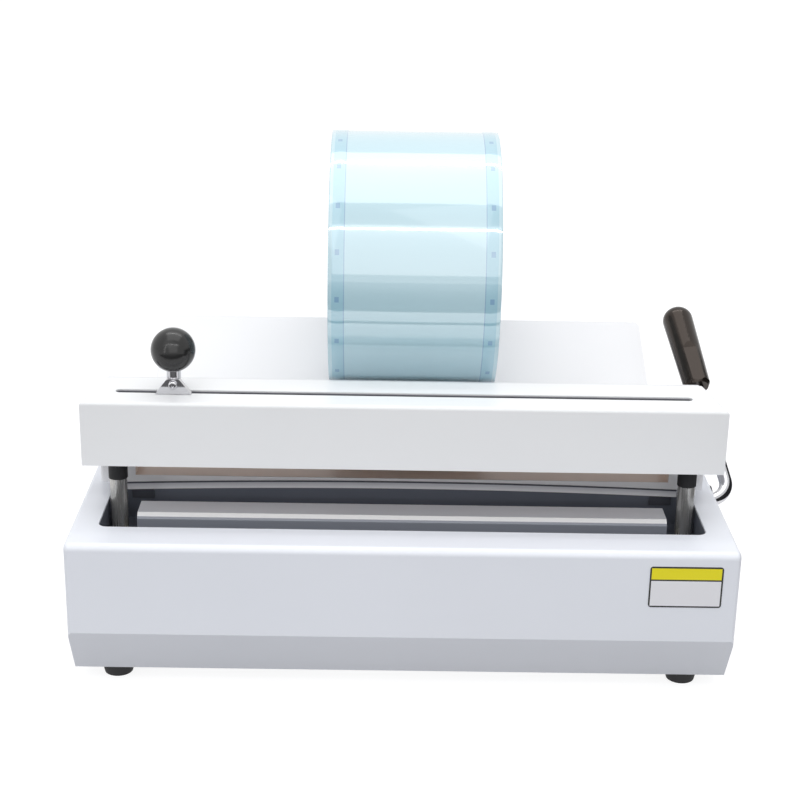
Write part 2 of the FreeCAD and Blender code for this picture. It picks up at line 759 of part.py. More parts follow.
# Heated bar with the heater in a groove of its underside
def make_sealing_bar():
    blank = body("bar_blank")
    section = sketch(blank, "YZ_Plane")
    half = "bar_width / 2"
    groove = "heater_width / 2 + heater_gap"
    groove_top = "bar_low + heater_height"
    outline(section, [("bar_y - " + half, "bar_low"), ("bar_y - (%s)" % groove, "bar_low"),
                      ("bar_y - (%s)" % groove, groove_top), ("bar_y + (%s)" % groove, groove_top),
                      ("bar_y + (%s)" % groove, "bar_low"), ("bar_y + " + half, "bar_low"),
                      ("bar_y + " + half, "bar_top"), ("bar_y - %s + bar_bevel" % half, "bar_top"),
                      ("bar_y - " + half, "bar_top - bar_bevel")])
    feature(blank, "Pad", section, "bar_length", symmetric=True)
    holes = []
    blocks = []
    screws = []
    for side, x in (("left", "-standoff_x"), ("right", "standoff_x")):
        radius = "bar_screw / 2 + screw_gap"
        hole = rod("bar_hole_" + side, "z", "bar_low - past", "bar_top - bar_skin", radius, (x, "bar_y"))
        holes.append(hole)
        block = box("standoff_block_" + side, (x + " - standoff_half", "bar_y - %s + standoff_inset" % half,
                                               "recess_floor"),
                    (x + " + standoff_half", "bar_y + %s - standoff_inset" % half, "bar_low"))
        bore = rod("standoff_bore_" + side, "z", "recess_floor - past", "bar_low + past", radius,
                   (x, "bar_y"))
        blocks.append(cut("standoff_" + side, block, bore))
        head = rod("bar_screw_head_" + side, "z", "recess_floor - tray_wall - bar_screw_head",
                   "recess_floor - tray_wall", "bar_screw", (x, "bar_y"))
        shank = rod("bar_screw_shank_" + side, "z", "recess_floor - tray_wall",
                    "bar_top - bar_skin - bar_screw_tip", "bar_screw / 2", (x, "bar_y"))
        screws.append(fuse("bar_screw_" + side, head, shank))
    node(cut("bar_cut", blank, *holes), "sealing_bar")
    node(group("standoff_group", *blocks), "bar_standoffs")
    node(group("bar_screw_group", *screws), "bar_screws")
    node(box("heater_block", ("-heater_length / 2", "bar_y - heater_width / 2", "bar_low"),
             ("heater_length / 2", "bar_y + heater_width / 2",
              "bar_low + heater_height - heater_gap / 2")), "heater_element")
    node(box("clamp_block", ("-heater_length / 2", "bar_y - bar_width / 2 + clamp_inset",
                             "bar_low - clamp_wall"),
             ("heater_length / 2", "bar_y + bar_width / 2 - clamp_inset", "bar_low")), "heater_clamp")
    can = rod("thermostat_can", "z", "recess_floor + seat_gap", "bar_low - clamp_wall", "thermostat_radius",
              ("0", "bar_y"))
    tab = box("thermostat_lug", ("-thermostat_tab / 2", "bar_y - thermostat_tab_width / 2",
                                 "bar_low - clamp_wall - thermostat_tab_wall"),
              ("thermostat_tab / 2", "bar_y + thermostat_tab_width / 2", "bar_low - clamp_wall"))
    node(fuse("thermostat_solid", can, tab), "thermostat")


# Thin bowed strip behind the trough that the pouch web slides over
def make_guide_strip():
    half = size("post_x") - size("strip_inset")
    bow = size("strip_bow")
    height = size("strip_height")
    low = size("base_height") - height + size("seat_gap")
    depth = size("strip_depth")
    front = size("recess_back") - depth - size("seat_gap")

    def arch(z):
        ends = Vector(-half, front, z), Vector(0, front, z + bow), Vector(half, front, z)
        return Part.Arc(*ends).toShape()

    lower = arch(low)
    upper = arch(low + height)
    left = Part.LineSegment(Vector(-half, front, low), Vector(-half, front, low + height)).toShape()
    right = Part.LineSegment(Vector(half, front, low), Vector(half, front, low + height)).toShape()
    face = Part.Face(Part.Wire(Part.__sortEdges__([lower, right, upper, left])))
    strip = doc.addObject("Part::Feature", "strip_arch")
    strip.Shape = face.extrude(Vector(0, depth, 0))
    lugs = []
    for side in ("left", "right"):
        a, b = span(side, "post_x - lug_inset - lug_length", "post_x - lug_inset")
        lugs.append(box("strip_lug_" + side, (a, "recess_back - strip_depth - seat_gap",
                                                   "base_height - strip_height - lug_drop"),
                        (b, "recess_back + tray_gap", "top_inner - seat_gap")))
    node(fuse("strip_solid", strip, *lugs), "guide_strip")


# Housing behind the beam: the web of the reel passes through its window
def make_feed_housing():
    blank = body("housing_blank")
    plan = sketch(blank, "XY_Plane", "base_height")
    rectangle(plan, "-housing_width / 2", "housing_front", "housing_width / 2", "housing_back")
    block = feature(blank, "Pad", plan, "housing_height")
    top = size("housing_top")
    round_off(blank, block, "beam_bend", lambda b: near(b.ZMin, top) or along_z(b))
    wall = "beam_wall"
    tunnel = box("housing_tunnel", ("-window_width / 2", "housing_front - past", "sill_top"),
                 ("window_width / 2", "housing_back + past", "window_top"))
    room = box("housing_room", ("-housing_width / 2 + " + wall, "housing_front + " + wall,
                                "window_top + " + wall),
               ("housing_width / 2 - " + wall, "housing_back - " + wall, "housing_top - " + wall))
    under = box("housing_under", ("-window_width / 2", "housing_front + " + wall, "base_height - past"),
                ("window_width / 2", "housing_back - " + wall, "sill_top - " + wall))
    ends = []
    for side in ("left", "right"):
        low, high = span(side, "window_width / 2 + " + wall, "housing_width / 2 - " + wall)
        ends.append(box("housing_end_" + side, (low, "housing_front + " + wall, "base_height - past"),
                        (high, "housing_back - " + wall, "window_top + 2 * " + wall)))
    node(cut("housing_cut", blank, tunnel, room, under, *ends), "feed_housing")


# Sloped cradle behind the housing that the reel lies on
def make_reel_cradle():
    blank = body("cradle_blank")
    side = sketch(blank, "YZ_Plane")
    outline(side, [("ramp_front", "base_height"), ("ramp_front", "ramp_low"), ("ramp_back", "ramp_top"),
                   ("ramp_back", "base_height")])
    wedge = feature(blank, "Pad", side, "ramp_width", symmetric=True)
    back = size("ramp_back")
    wedge = round_off(blank, wedge, "ramp_corner", lambda b: along_z(b) and near(b.YMin, back))
    hollow = sketch(blank, "YZ_Plane")
    wall = "beam_wall"
    outline(hollow, [("ramp_front + " + wall, "base_height - past"),
                     ("ramp_front + " + wall,
                      "ramp_low - %s / cos(ramp_angle) + %s * tan(ramp_angle)" % (wall, wall)),
                     ("ramp_back - " + wall,
                      "ramp_top - %s / cos(ramp_angle) - %s * tan(ramp_angle)" % (wall, wall)),
                     ("ramp_back - " + wall, "base_height - past")])
    feature(blank, "Pocket", hollow, "ramp_width - 2 * " + wall, symmetric=True)
    node(blank, "reel_cradle")


# The reel of pouch web on its paper core
def make_reel():
    low = "reel_aside - reel_width / 2"
    high = "reel_aside + reel_width / 2"
    middle = ("reel_y", "reel_z")
    node(tube("reel_core_tube", "x", low, high, "core_diameter / 2", "core_diameter / 2 - core_wall", middle),
         "reel_core")
    node(tube("reel_film_tube", "x", low, high, "reel_radius", "core_diameter / 2 + run_gap", middle),
         "reel_film")


# Steel posts with their rubber collars, clamped in the lift arms below
def make_posts():
    nuts = []
    pins = []
    pin_end = "cam_x + cam_thickness + roller_side + screw_gap"
    for side, x in (("left", "-post_x"), ("right", "post_x")):
        middle = (x, "post_y")
        shaft = rod("post_shaft_" + side, "z", "arm_low", "web_low", "post_radius", middle)
        stud = rod("post_stud_" + side, "z", "web_low", "web_top + stud_rise", "stud_radius", middle)
        node(fuse("post_solid_" + side, shaft, stud), "post_" + side)
        node(tube("collar_tube_" + side, "z", "beam_low + collar_sink - collar_length",
                  "beam_low + collar_sink", "collar_diameter / 2", "post_radius + run_gap", middle),
             "post_collar_" + side)
        prism = doc.addObject("Part::Prism", "nut_prism_" + side)
        prism.Polygon = 6
        bind(prism, "Circumradius", "nut_radius")
        bind(prism, "Height", "nut_height")
        put(prism, x, "post_y", "web_top")
        bore = rod("nut_bore_" + side, "z", "web_top - past", "web_top + nut_height + past",
                   "stud_radius + run_gap", middle)
        nuts.append(cut("nut_" + side, prism, bore))
        blank = body("arm_blank_" + side)
        plan = sketch(blank, "XY_Plane", "arm_low")
        low, high = span(side, "post_x - arm_half", "post_x + arm_half")
        rectangle(plan, low, "post_y - arm_nose", high, "pivot_y + arm_tail")
        bar = feature(blank, "Pad", plan, "arm_height")
        round_off(blank, bar, "arm_round", along_z)
        hole = rod("arm_hole_" + side, "z", "arm_low - past", "arm_top + past", "post_radius + run_gap",
                   middle)
        low, high = span(side, "post_x - arm_half - past", "post_x + arm_half + past")
        bore = rod("arm_bore_" + side, "x", low, high, "pin_radius + run_gap", ("pivot_y", "follower_z"))
        slit = box("arm_slit_" + side, (x + " - slit_half", "post_y - arm_nose - past", "arm_low - past"),
                   (x + " + slit_half", "post_y", "arm_top + past"))
        node(cut("arm_cut_" + side, blank, hole, bore, slit), "lift_arm_" + side)
        low, high = span(side, "post_x - arm_half + roller_side", pin_end)
        pin = rod("pin_stem_" + side, "x", low, high, "pin_radius", ("pivot_y", "follower_z"))
        low, high = span(side, pin_end, pin_end + " + pin_head")
        head = rod("pin_head_" + side, "x", low, high, "pin_radius + pin_head_lip", ("pivot_y", "follower_z"))
        pins.append(fuse("pin_solid_" + side, pin, head))
        low, high = span(side, "cam_x - roller_side", "cam_x + cam_thickness + roller_side")
        node(tube("roller_tube_" + side, "x", low, high, "follower_diameter / 2", "pin_radius + run_gap",
                  ("pivot_y", "follower_z")), "follower_roller_" + side)
    node(group("nut_group", *nuts), "post_nuts")
    node(group("pin_group", *pins), "follower_pins")


# Spiral cams on the cross shaft: equal turns of the lever give equal drops of the beam
def make_shaft_and_cams():
    swing = math.radians(size("lever_swing"))
    rate = size("press_stroke") / swing
    reach = size("follower_diameter") / 2 + size("seat_gap")
    y = size("pivot_y")
    z = size("pivot_height")
    spare = math.radians(size("cam_spare"))

    def rim_point(turn):
        radius = size("cam_radius") + rate * turn
        angle = -math.pi / 2 - turn
        out = Vector(0, math.cos(angle), math.sin(angle))
        ahead = Vector(0, math.sin(angle), -math.cos(angle))
        normal = (out * radius - ahead * rate).normalize()
        return Vector(0, y, z) + out * radius - normal * reach

    turns = [-spare + (swing + 2 * spare) * step / CAM_STEPS for step in range(CAM_STEPS + 1)]
    rim = Part.BSplineCurve()
    rim.interpolate([rim_point(turn) for turn in turns])
    first = rim_point(turns[0])
    last = rim_point(turns[-1])
    middle = Vector(0, y, z)
    loop = Part.Wire([rim.toShape(), Part.makeLine(last, middle), Part.makeLine(middle, first)])
    for side in ("left", "right"):
        lobe = doc.addObject("Part::Feature", "cam_lobe_" + side)
        thick = size("cam_thickness")
        start = size("cam_x") if side == "right" else -size("cam_x") - thick
        lobe.Shape = Part.Face(loop).extrude(Vector(thick, 0, 0))
        lobe.Placement = Placement(Vector(start, 0, 0), Rotation())
        low, high = span(side, "cam_x - hub_side", "cam_x + cam_thickness + hub_side")
        hub = rod("cam_hub_" + side, "x", low, high, "hub_radius", ("pivot_y", "pivot_height"))
        bore = rod("cam_bore_" + side, "x", "%s - past" % low, "%s + past" % high, "shaft_radius + run_gap",
                   ("pivot_y", "pivot_height"))
        node(cut("cam_cut_" + side, fuse("cam_solid_" + side, lobe, hub), bore), "lift_cam_" + side)
    end = "frame_x + frame_wall + shaft_spare"
    shaft = rod("shaft_solid", "x", "-(%s)" % end, end, "shaft_radius", ("pivot_y", "pivot_height"))
    socket = rod("shaft_socket", "x", end + " - rod_socket", end + " + past", "rod_diameter / 2 + run_gap",
                 ("pivot_y", "pivot_height"))
    node(cut("shaft_cut", shaft, socket), "cross_shaft")


# Bent lever rod, its grip, and the grommet where it leaves the base
def make_lever():
    rise = math.radians(size("lever_rise"))
    lean = math.radians(size("lever_lean"))
    bend = size("rod_bend")
    shaft_end = size("frame_x") + size("frame_wall") + size("shaft_spare")
    start = Vector(shaft_end + size("screw_gap") - size("rod_socket"), size("pivot_y"), size("pivot_height"))
    turn_x = size("side_x") - size("bend_inset")
    up = Vector(0, math.cos(rise), math.sin(rise))
    right = Vector(1, 0, 0)
    axis = Vector(0, size("pivot_y"), size("pivot_height"))

    def at(x, reach):
        return axis + right * x + up * reach

    half_turn = (math.pi / 2 + lean) / 2
    bend_start = at(turn_x, 0)
    bend_middle = at(turn_x + bend * math.sin(half_turn), bend * (1 - math.cos(half_turn)))
    bend_end = at(turn_x + bend * math.cos(lean), bend * (1 + math.sin(lean)))
    ahead = up * math.cos(lean) - right * math.sin(lean)
    bend_reach = bend * (1 + math.sin(lean))
    straight = (size("rod_reach") - bend_reach) / math.cos(lean)
    grip_foot = bend_end + ahead * straight
    rod_end = grip_foot + ahead * (size("grip_bore") - size("tray_gap"))
    path = Part.Wire([Part.makeLine(start, bend_start), Part.Arc(bend_start, bend_middle, bend_end).toShape(),
                      Part.makeLine(bend_end, rod_end)])
    ring_edge = Part.makeCircle(size("rod_diameter") / 2, start, right)
    lever = doc.addObject("Part::Feature", "lever_sweep")
    lever.Shape = path.makePipeShell([Part.Wire(ring_edge)], True, False)
    node(lever, "lever_rod")

    grip = body("grip_blank")
    profile = sketch(grip, "XZ_Plane")
    bore = "rod_diameter / 2 + run_gap"
    outline(profile, [(bore, "0"), ("grip_neck / 2 - grip_edge", "0"), ("grip_neck / 2", "grip_lead"),
                      ("grip_diameter / 2", "grip_length - grip_diameter / 2"),
                      ("grip_diameter / 2", "grip_length"), ("0", "grip_length"), ("0", "grip_bore"),
                      (bore, "grip_bore")])
    turned = revolve(grip, profile, "V_Axis")
    end = size("grip_length")
    wide = size("grip_diameter")
    round_off(grip, turned, "grip_diameter / 2 - grip_tip",
              lambda b: near(b.ZMin, end) and near(b.ZMax, end) and b.XLength > wide - 0.5)
    flat = sketch(grip, "XZ_Plane")
    over = "grip_diameter / 2 + past"
    outline(flat, [("grip_neck / 2 - flat_sink", "-past"), (over, "-past"), (over, "flat_length + flat_run"),
                   ("grip_diameter / 2", "flat_length + flat_run"),
                   ("grip_neck / 2 - flat_sink / 2", "flat_length")])
    planed = feature(grip, "Pocket", flat, "grip_diameter", symmetric=True)
    pair = grip.newObject("PartDesign::PolarPattern", "grip_flats")
    pair.Originals = [planed]
    pair.Axis = (profile, ["V_Axis"])
    pair.Angle = 360
    pair.Occurrences = GRIP_FLATS
    grip.Tip = pair
    doc.recompute()
    upward = Vector(0, -math.sin(rise), math.cos(rise))
    grip.Placement = Placement(grip_foot, Rotation(upward, ahead.cross(upward), ahead, "ZXY"))
    node(grip, "lever_grip")

    sleeve = rod("grommet_sleeve", "x", "inner_x", "side_x", "grommet_radius", ("pivot_y", "pivot_height"))
    flange = rod("grommet_flange", "x", "side_x", "side_x + grommet_flange", "grommet_radius + grommet_lip",
                 ("pivot_y", "pivot_height"))
    bore = rod("grommet_bore", "x", "inner_x - past", "side_x + grommet_flange + past",
               "rod_diameter / 2 + grommet_gap", ("pivot_y", "pivot_height"))
    node(cut("grommet_cut", fuse("grommet_solid", sleeve, flange), bore), "lever_grommet")


# Springs below the lift arms, on pegs of the bottom plate
def make_springs():
    wire = size("spring_wire") / 2
    radius = size("spring_diameter") / 2 - wire
    low = size("floor_top") + wire + size("seat_gap")
    high = size("arm_low") - wire - size("seat_gap")
    pegs = []
    for side, x in (("left", "-post_x"), ("right", "post_x")):
        helix = Part.makeHelix((high - low) / size("spring_turns"), high - low, radius)
        corners = [math.tau * step / WIRE_SIDES for step in range(WIRE_SIDES + 1)]
        points = [Vector(radius + wire * math.cos(turn), 0, wire * math.sin(turn)) for turn in corners]
        coil = doc.addObject("Part::Feature", "spring_coil_" + side)
        coil.Shape = Part.Wire(helix).makePipeShell([Part.makePolygon(points)], True, True)
        middle = size("post_x") if side == "right" else -size("post_x")
        coil.Placement = Placement(Vector(middle, size("post_y"), low), Rotation())
        node(coil, "return_spring_" + side)
        pegs.append(rod("spring_peg_" + side, "z", "floor_top", "floor_top + peg_height",
                        "spring_diameter / 2 - spring_wire - peg_gap", (x, "post_y")))
    node(group("peg_group", *pegs), "spring_pegs")


# Hollow beam cover with tapered ends and a slot for the cutter
def make_beam():
    blank = body("beam_blank")
    plan = sketch(blank, "XY_Plane", "beam_low")
    outline(plan, [("-beam_front_length / 2", "beam_front"), ("beam_front_length / 2", "beam_front"),
                   ("beam_back_length / 2", "beam_back"), ("-beam_back_length / 2", "beam_back")])
    block = feature(blank, "Pad", plan, "beam_height")
    top = size("beam_top")
    round_off(blank, block, "beam_bend", lambda b: near(b.ZMin, top))
    inside = sketch(blank, "XY_Plane", "beam_roof")
    front_half = "beam_front_length / 2 - beam_end_wall"
    back_half = "beam_back_length / 2 - beam_end_wall"
    outline(inside, [("-(%s)" % front_half, "beam_front + beam_wall"), (front_half, "beam_front + beam_wall"),
                     (back_half, "beam_back - beam_wall"), ("-(%s)" % back_half, "beam_back - beam_wall")])
    feature(blank, "Pocket", inside, "beam_height")
    end = "(slot_length / 2 - slot_width / 2)"
    slot = [box("slot_middle", ("-" + end, "bar_y - slot_width / 2", "beam_roof - past"),
                (end, "bar_y + slot_width / 2", "beam_top + past"))]
    for side, x in (("left", "-" + end), ("right", end)):
        slot.append(rod("slot_end_" + side, "z", "beam_roof - past", "beam_top + past", "slot_width / 2",
                        (x, "bar_y")))
    node(cut("beam_cut", blank, *slot), "beam_cover")

    channel = body("channel_blank")
    section = sketch(channel, "YZ_Plane")
    outline(section, [("beam_front + beam_wall", "web_low"), ("bar_y + web_reach", "web_low"),
                      ("bar_y + web_reach", "web_top"), ("beam_front + 2 * beam_wall", "web_top"),
                      ("beam_front + 2 * beam_wall", "beam_roof - channel_drop"),
                      ("beam_front + beam_wall", "beam_roof - channel_drop")])
    feature(channel, "Pad", section, "2 * web_half", symmetric=True)
    holes = []
    for side, x in (("left", "-post_x"), ("right", "post_x")):
        holes.append(rod("web_hole_" + side, "z", "web_low - past", "web_top + past",
                         "stud_radius + 2 * screw_gap", (x, "post_y")))
    node(cut("channel_cut", channel, *holes), "beam_channel")

    holder = body("presser_blank")
    section = sketch(holder, "YZ_Plane")
    half = "pad_width / 2"
    flange = "web_low - holder_flange"
    outline(section, [("bar_y - " + half, "pad_top"), ("bar_y + " + half, "pad_top"),
                      ("bar_y + " + half, flange), ("bar_y + holder_half", flange),
                      ("bar_y + holder_half", "web_low"), ("bar_y - holder_half", "web_low"),
                      ("bar_y - holder_half", flange), ("bar_y - " + half, flange)])
    feature(holder, "Pad", section, "bar_length", symmetric=True)
    node(holder, "presser_holder")

    pad = body("pad_blank")
    section = sketch(pad, "YZ_Plane")
    rectangle(section, "bar_y - " + half, "pad_low", "bar_y + " + half, "pad_top")
    strip = feature(pad, "Pad", section, "bar_length - 2 * pad_inset", symmetric=True)
    low = size("pad_low")
    round_off(pad, strip, "pad_thickness / 2", lambda b: along_x(b) and near(b.ZMin, low))
    node(pad, "silicone_pad")

    radius = "guide_rod_diameter / 2"
    node(rod("guide_rod_solid", "x", "-web_half", "web_half", radius, ("bar_y", "guide_z")), "guide_rod")
    holders = []
    for side in ("left", "right"):
        low, high = span(side, "web_half - rod_holder_length", "web_half")
        block = box("holder_block_" + side, (low, "bar_y - rod_holder_half", "guide_z - rod_holder_half"),
                    (high, "bar_y + rod_holder_half", "beam_roof"))
        bore = rod("holder_bore_" + side, "x", low + " - past", high + " + past", radius + " + run_gap",
                   ("bar_y", "guide_z"))
        holders.append(cut("holder_" + side, block, bore))
    node(group("holder_group", *holders), "guide_rod_holders")


# Cutter: a slider on the guide rod carries the blade below and the ball knob above
def make_cutter():
    half = "slider_length / 2"
    block = box("slider_block", ("slider_x - " + half, "bar_y - slider_half_depth",
                                 "guide_z - slider_half_height"),
                ("slider_x + " + half, "bar_y + slider_half_depth", "guide_z + slider_half_height"))
    neck = box("slider_neck", ("slider_x - neck_half_length", "bar_y - neck_half_width",
                               "guide_z + slider_half_height - past"),
               ("slider_x + neck_half_length", "bar_y + neck_half_width", "beam_top + seat_gap"))
    bore = rod("slider_bore", "x", "slider_x - slider_length", "slider_x + slider_length",
               "guide_rod_diameter / 2 + run_gap", ("bar_y", "guide_z"))
    node(cut("slider_cut", fuse("slider_solid", block, neck), bore), "cutter_slider")

    low = "beam_top + seat_gap"
    middle = ("slider_x", "bar_y")
    make_cutter_foot(low)
    front = "bar_y - stem_diameter / 2"
    stem = rod("stem_rod", "z", low, "beam_top + ball_rise - knob_bore_end - part_gap", "stem_diameter / 2",
               middle)
    tapped = rod("stem_tapping", "y", front + " - past",
                 front + " - screw_gap - cutter_foot_wall + cutter_screw_length + screw_gap",
                 "cutter_screw_radius + screw_gap", ("slider_x", "beam_top + foot_rise - cutter_screw_drop"))
    node(cut("stem_solid", stem, tapped), "cutter_stem")
    ball = doc.addObject("Part::Sphere", "knob_ball")
    bind(ball, "Radius", "ball_diameter / 2")
    put(ball, "slider_x", "bar_y", "beam_top + ball_rise")
    socket = rod("knob_socket", "z", "beam_top", "beam_top + ball_rise - knob_bore_end",
                 "stem_diameter / 2 + run_gap", middle)
    flat = box("knob_flat", ("slider_x - ball_diameter / 2", "bar_y - ball_diameter / 2", "beam_top"),
               ("slider_x + ball_diameter / 2", "bar_y + ball_diameter / 2",
                "beam_top + ball_rise - ball_diameter / 2 + knob_flat"))
    node(cut("knob_cut", ball, socket, flat), "cutter_knob")

    side = "neck_half_length"
    plate = box("blade_arm", ("slider_x - " + side, "bar_y + blade_arm_near", "beam_low - blade_arm_low"),
                ("slider_x + " + side, "bar_y + blade_arm_far", "guide_z + blade_arm_rise"))
    spacer = box("blade_arm_spacer", ("slider_x - " + side, "bar_y + slider_half_depth",
                                      "guide_z - slider_half_height"),
                 ("slider_x + " + side, "bar_y + blade_arm_near", "guide_z + blade_arm_rise"))
    node(fuse("blade_holder_solid", plate, spacer), "blade_holder")
    blade = body("blade_blank")
    face = sketch(blade, "XZ_Plane", "-(bar_y + blade_arm_far + blade_thickness)")
    outline(face, [("slider_x - blade_half", "beam_low + blade_top"),
                   ("slider_x - blade_half", "beam_low - blade_point"),
                   ("slider_x + blade_half", "beam_low - blade_heel"),
                   ("slider_x + blade_half", "beam_low + blade_top")])
    feature(blade, "Pad", face, "blade_thickness")
    node(blade, "cutter_blade")


# Folded sheet foot in front of the stem: a rounded face with a narrow flange along both slopes
def make_cutter_foot(low):
    high = "beam_top + foot_rise"
    back = "bar_y - stem_diameter / 2 - screw_gap - cutter_foot_wall + cutter_foot_depth"
    foot = body("foot_blank")
    face = sketch(foot, "XZ_Plane", "-(%s)" % back)
    outline(face, [("slider_x - cutter_foot_half", low), ("slider_x + cutter_foot_half", low),
                   ("slider_x + cutter_foot_top_half", high), ("slider_x - cutter_foot_top_half", high)])
    block = feature(foot, "Pad", face, "cutter_foot_depth")
    top = size("beam_top") + size("foot_rise")
    round_off(foot, block, "cutter_foot_round", lambda b: along_y(b) and near(b.ZMin, top))
    inside = sketch(foot, "XZ_Plane", "-(%s)" % back)
    wide = "(cutter_foot_half + foot_lean * past - foot_skin)"
    narrow = "(cutter_foot_top_half + foot_lean * cutter_foot_wall - foot_skin)"
    outline(inside, [("slider_x - " + wide, low + " - past"), ("slider_x + " + wide, low + " - past"),
                     ("slider_x + " + narrow, high + " - cutter_foot_wall"),
                     ("slider_x - " + narrow, high + " - cutter_foot_wall")])
    fold = feature(foot, "Pocket", inside, "cutter_foot_depth - cutter_foot_wall")
    fold.Reversed = True
    stem_hole = rod("cutter_foot_stem_hole", "z", low + " - past", high + " + past",
                    "stem_diameter / 2 + run_gap", ("slider_x", "bar_y"))
    front = back + " - cutter_foot_depth"
    screw_middle = ("slider_x", high + " - cutter_screw_drop")
    screw_hole = rod("cutter_foot_screw_hole", "y", front + " - past", front + " + cutter_foot_wall + past",
                     "cutter_screw_radius + screw_gap", screw_middle)
    node(cut("cutter_foot_cut", foot, stem_hole, screw_hole), "cutter_foot")
    head = rod("clamp_screw_head", "y", front + " - cutter_head_height", front, "cutter_head_radius",
               screw_middle)
    shank = rod("clamp_screw_shank", "y", front, front + " + cutter_screw_length", "cutter_screw_radius",
                screw_middle)
    node(fuse("clamp_screw_solid", head, shank), "cutter_foot_screw")


# Inlet and switch in the back wall, terminals inside
def make_electrics():
    half = "inlet_width / 2"
    rise = "inlet_height / 2"
    shell = box("inlet_shell", ("inlet_x - %s + part_gap" % half, "back_y - inlet_depth",
                                "panel_height - %s + part_gap" % rise),
                ("inlet_x + %s - part_gap" % half, "back_y", "panel_height + %s - part_gap" % rise))
    flange = box("inlet_plate", ("inlet_x - %s - inlet_ear" % half, "back_y",
                                 "panel_height - %s - panel_lip" % rise),
                 ("inlet_x + %s + inlet_ear" % half, "back_y + inlet_flange",
                  "panel_height + %s + panel_lip" % rise))
    socket = box("inlet_socket", ("inlet_x - socket_half", "back_y - socket_depth",
                                  "panel_height - socket_half_height"),
                 ("inlet_x + socket_half", "back_y + inlet_flange + past",
                  "panel_height + socket_half_height"))
    pins = []
    for number, (x, z) in enumerate((("inlet_x - contact_pitch", "panel_height"),
                                     ("inlet_x", "panel_height + contact_rise"),
                                     ("inlet_x + contact_pitch", "panel_height"))):
        pins.append(box("inlet_pin_%d" % number,
                        (x + " - contact_half", "back_y - socket_depth - past", z + " - contact_half_height"),
                        (x + " + contact_half", "back_y - contact_inset", z + " + contact_half_height")))
    node(fuse("inlet_solid", cut("inlet_cut", fuse("inlet_block", shell, flange), socket), *pins),
         "power_inlet")

    half = "switch_width / 2"
    rise = "switch_height / 2"
    shell = box("switch_shell",
                ("switch_x - %s + part_gap" % half, "back_y - switch_depth",
                 "panel_height - %s + part_gap" % rise),
                ("switch_x + %s - part_gap" % half, "back_y", "panel_height + %s - part_gap" % rise))
    flange = box("switch_plate", ("switch_x - %s - panel_lip" % half, "back_y",
                                  "panel_height - %s - panel_lip" % rise),
                 ("switch_x + %s + panel_lip" % half, "back_y + switch_flange",
                  "panel_height + %s + panel_lip" % rise))
    well = box("switch_well", ("switch_x - switch_well_half", "back_y - switch_well_depth",
                               "panel_height - switch_well_half_height"),
               ("switch_x + switch_well_half", "back_y + switch_flange + past",
                "panel_height + switch_well_half_height"))
    reach = "(rocker_pin_reach + part_gap)"
    bore = rod("switch_bore", "x", "switch_x - " + reach, "switch_x + " + reach,
               "rocker_pin_radius + run_gap", ("back_y - rocker_pivot", "panel_height"))
    node(cut("switch_cut", fuse("switch_block", shell, flange), well, bore), "switch_housing")
    make_rocker()

    left = "terminal_x - terminal_length / 2"
    base = box("terminal_foot", (left, "terminal_y - terminal_depth / 2", "floor_top"),
               ("terminal_x + terminal_length / 2", "terminal_y + terminal_depth / 2",
                "floor_top + terminal_base"))
    tower = []
    margin = "(terminal_length - %d * terminal_pitch - terminal_cell) / 2" % (TERMINAL_COUNT - 1)
    for number in range(TERMINAL_COUNT):
        x = "%s + %s + %d * terminal_pitch" % (left, margin, number)
        cell = box("terminal_cell_%d" % number,
                   (x, "terminal_y - terminal_cell_depth / 2", "floor_top + terminal_base - past"),
                   (x + " + terminal_cell", "terminal_y + terminal_cell_depth / 2",
                    "floor_top + terminal_height"))
        well = rod("terminal_well_%d" % number, "z", "floor_top + terminal_height - terminal_well_depth",
                   "floor_top + terminal_height + past", "terminal_well",
                   (x + " + terminal_cell / 2", "terminal_y"))
        tower.append(cut("terminal_%d" % number, cell, well))
    node(fuse("terminal_solid", base, *tower), "terminal_block")


# Rocker key with a dished face, at rest with its upper end pressed in
def make_rocker():
    half = size("rocker_half")
    reach = size("rocker_pin_reach")
    root = size("rocker_root")
    root_half = size("rocker_root_half")
    face = size("rocker_face")
    tip = size("rocker_tip")
    corners = [(-root, -root_half), (face, -tip), (size("rocker_dish"), 0), (face, tip), (-root, root_half)]
    points = [Vector(-half, y, z) for y, z in corners]
    key = Part.Face(Part.makePolygon(points + points[:1])).extrude(Vector(2 * half, 0, 0))
    pins = Part.makeCylinder(size("rocker_pin_radius"), 2 * reach, Vector(-reach, 0, 0), Vector(1, 0, 0))
    rocker = doc.addObject("Part::Feature", "rocker_solid")
    rocker.Shape = key.fuse(pins).removeSplitter()
    pivot = Vector(size("switch_x"), size("back_y") - size("rocker_pivot"), size("panel_height"))
    tilt = Rotation(Vector(1, 0, 0), -size("rocker_tilt"))
    rocker.Placement = Placement(pivot, tilt)
    node(rocker, "switch_rocker")


def main():
    make_base_cover()
    make_bottom_plate()
    make_feet()
    make_recess_tray()
    make_guide_bridge()
    make_side_frames()
    make_sealing_bar()
    make_guide_strip()
    make_feed_housing()
    make_reel_cradle()
    make_reel()
    make_posts()
    make_shaft_and_cams()
    make_lever()
    make_springs()
    make_beam()
    make_cutter()
    make_electrics()
    doc.recompute()
    faults = [item.Name for item in doc.Objects if "Invalid" in item.State or "Error" in item.State]
    faults += [item.Label for item in nodes if item.Shape.isNull() or not item.Shape.isValid()]
    if faults:
        raise SystemExit("Not built: " + ", ".join(faults))
    os.makedirs("parts", exist_ok=True)
    to_origin = Vector(-size("origin_x"), -size("origin_y"), 0)
    for item in nodes:
        item.Shape.translated(to_origin).exportStep("parts/%s.step" % item.Label)
    print("%d nodes written" % len(nodes))


main()
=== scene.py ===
import logging
import math
from dataclasses import dataclass, field
from enum import Enum
from typing import Any, Callable, Iterable, Optional, Sequence, Union

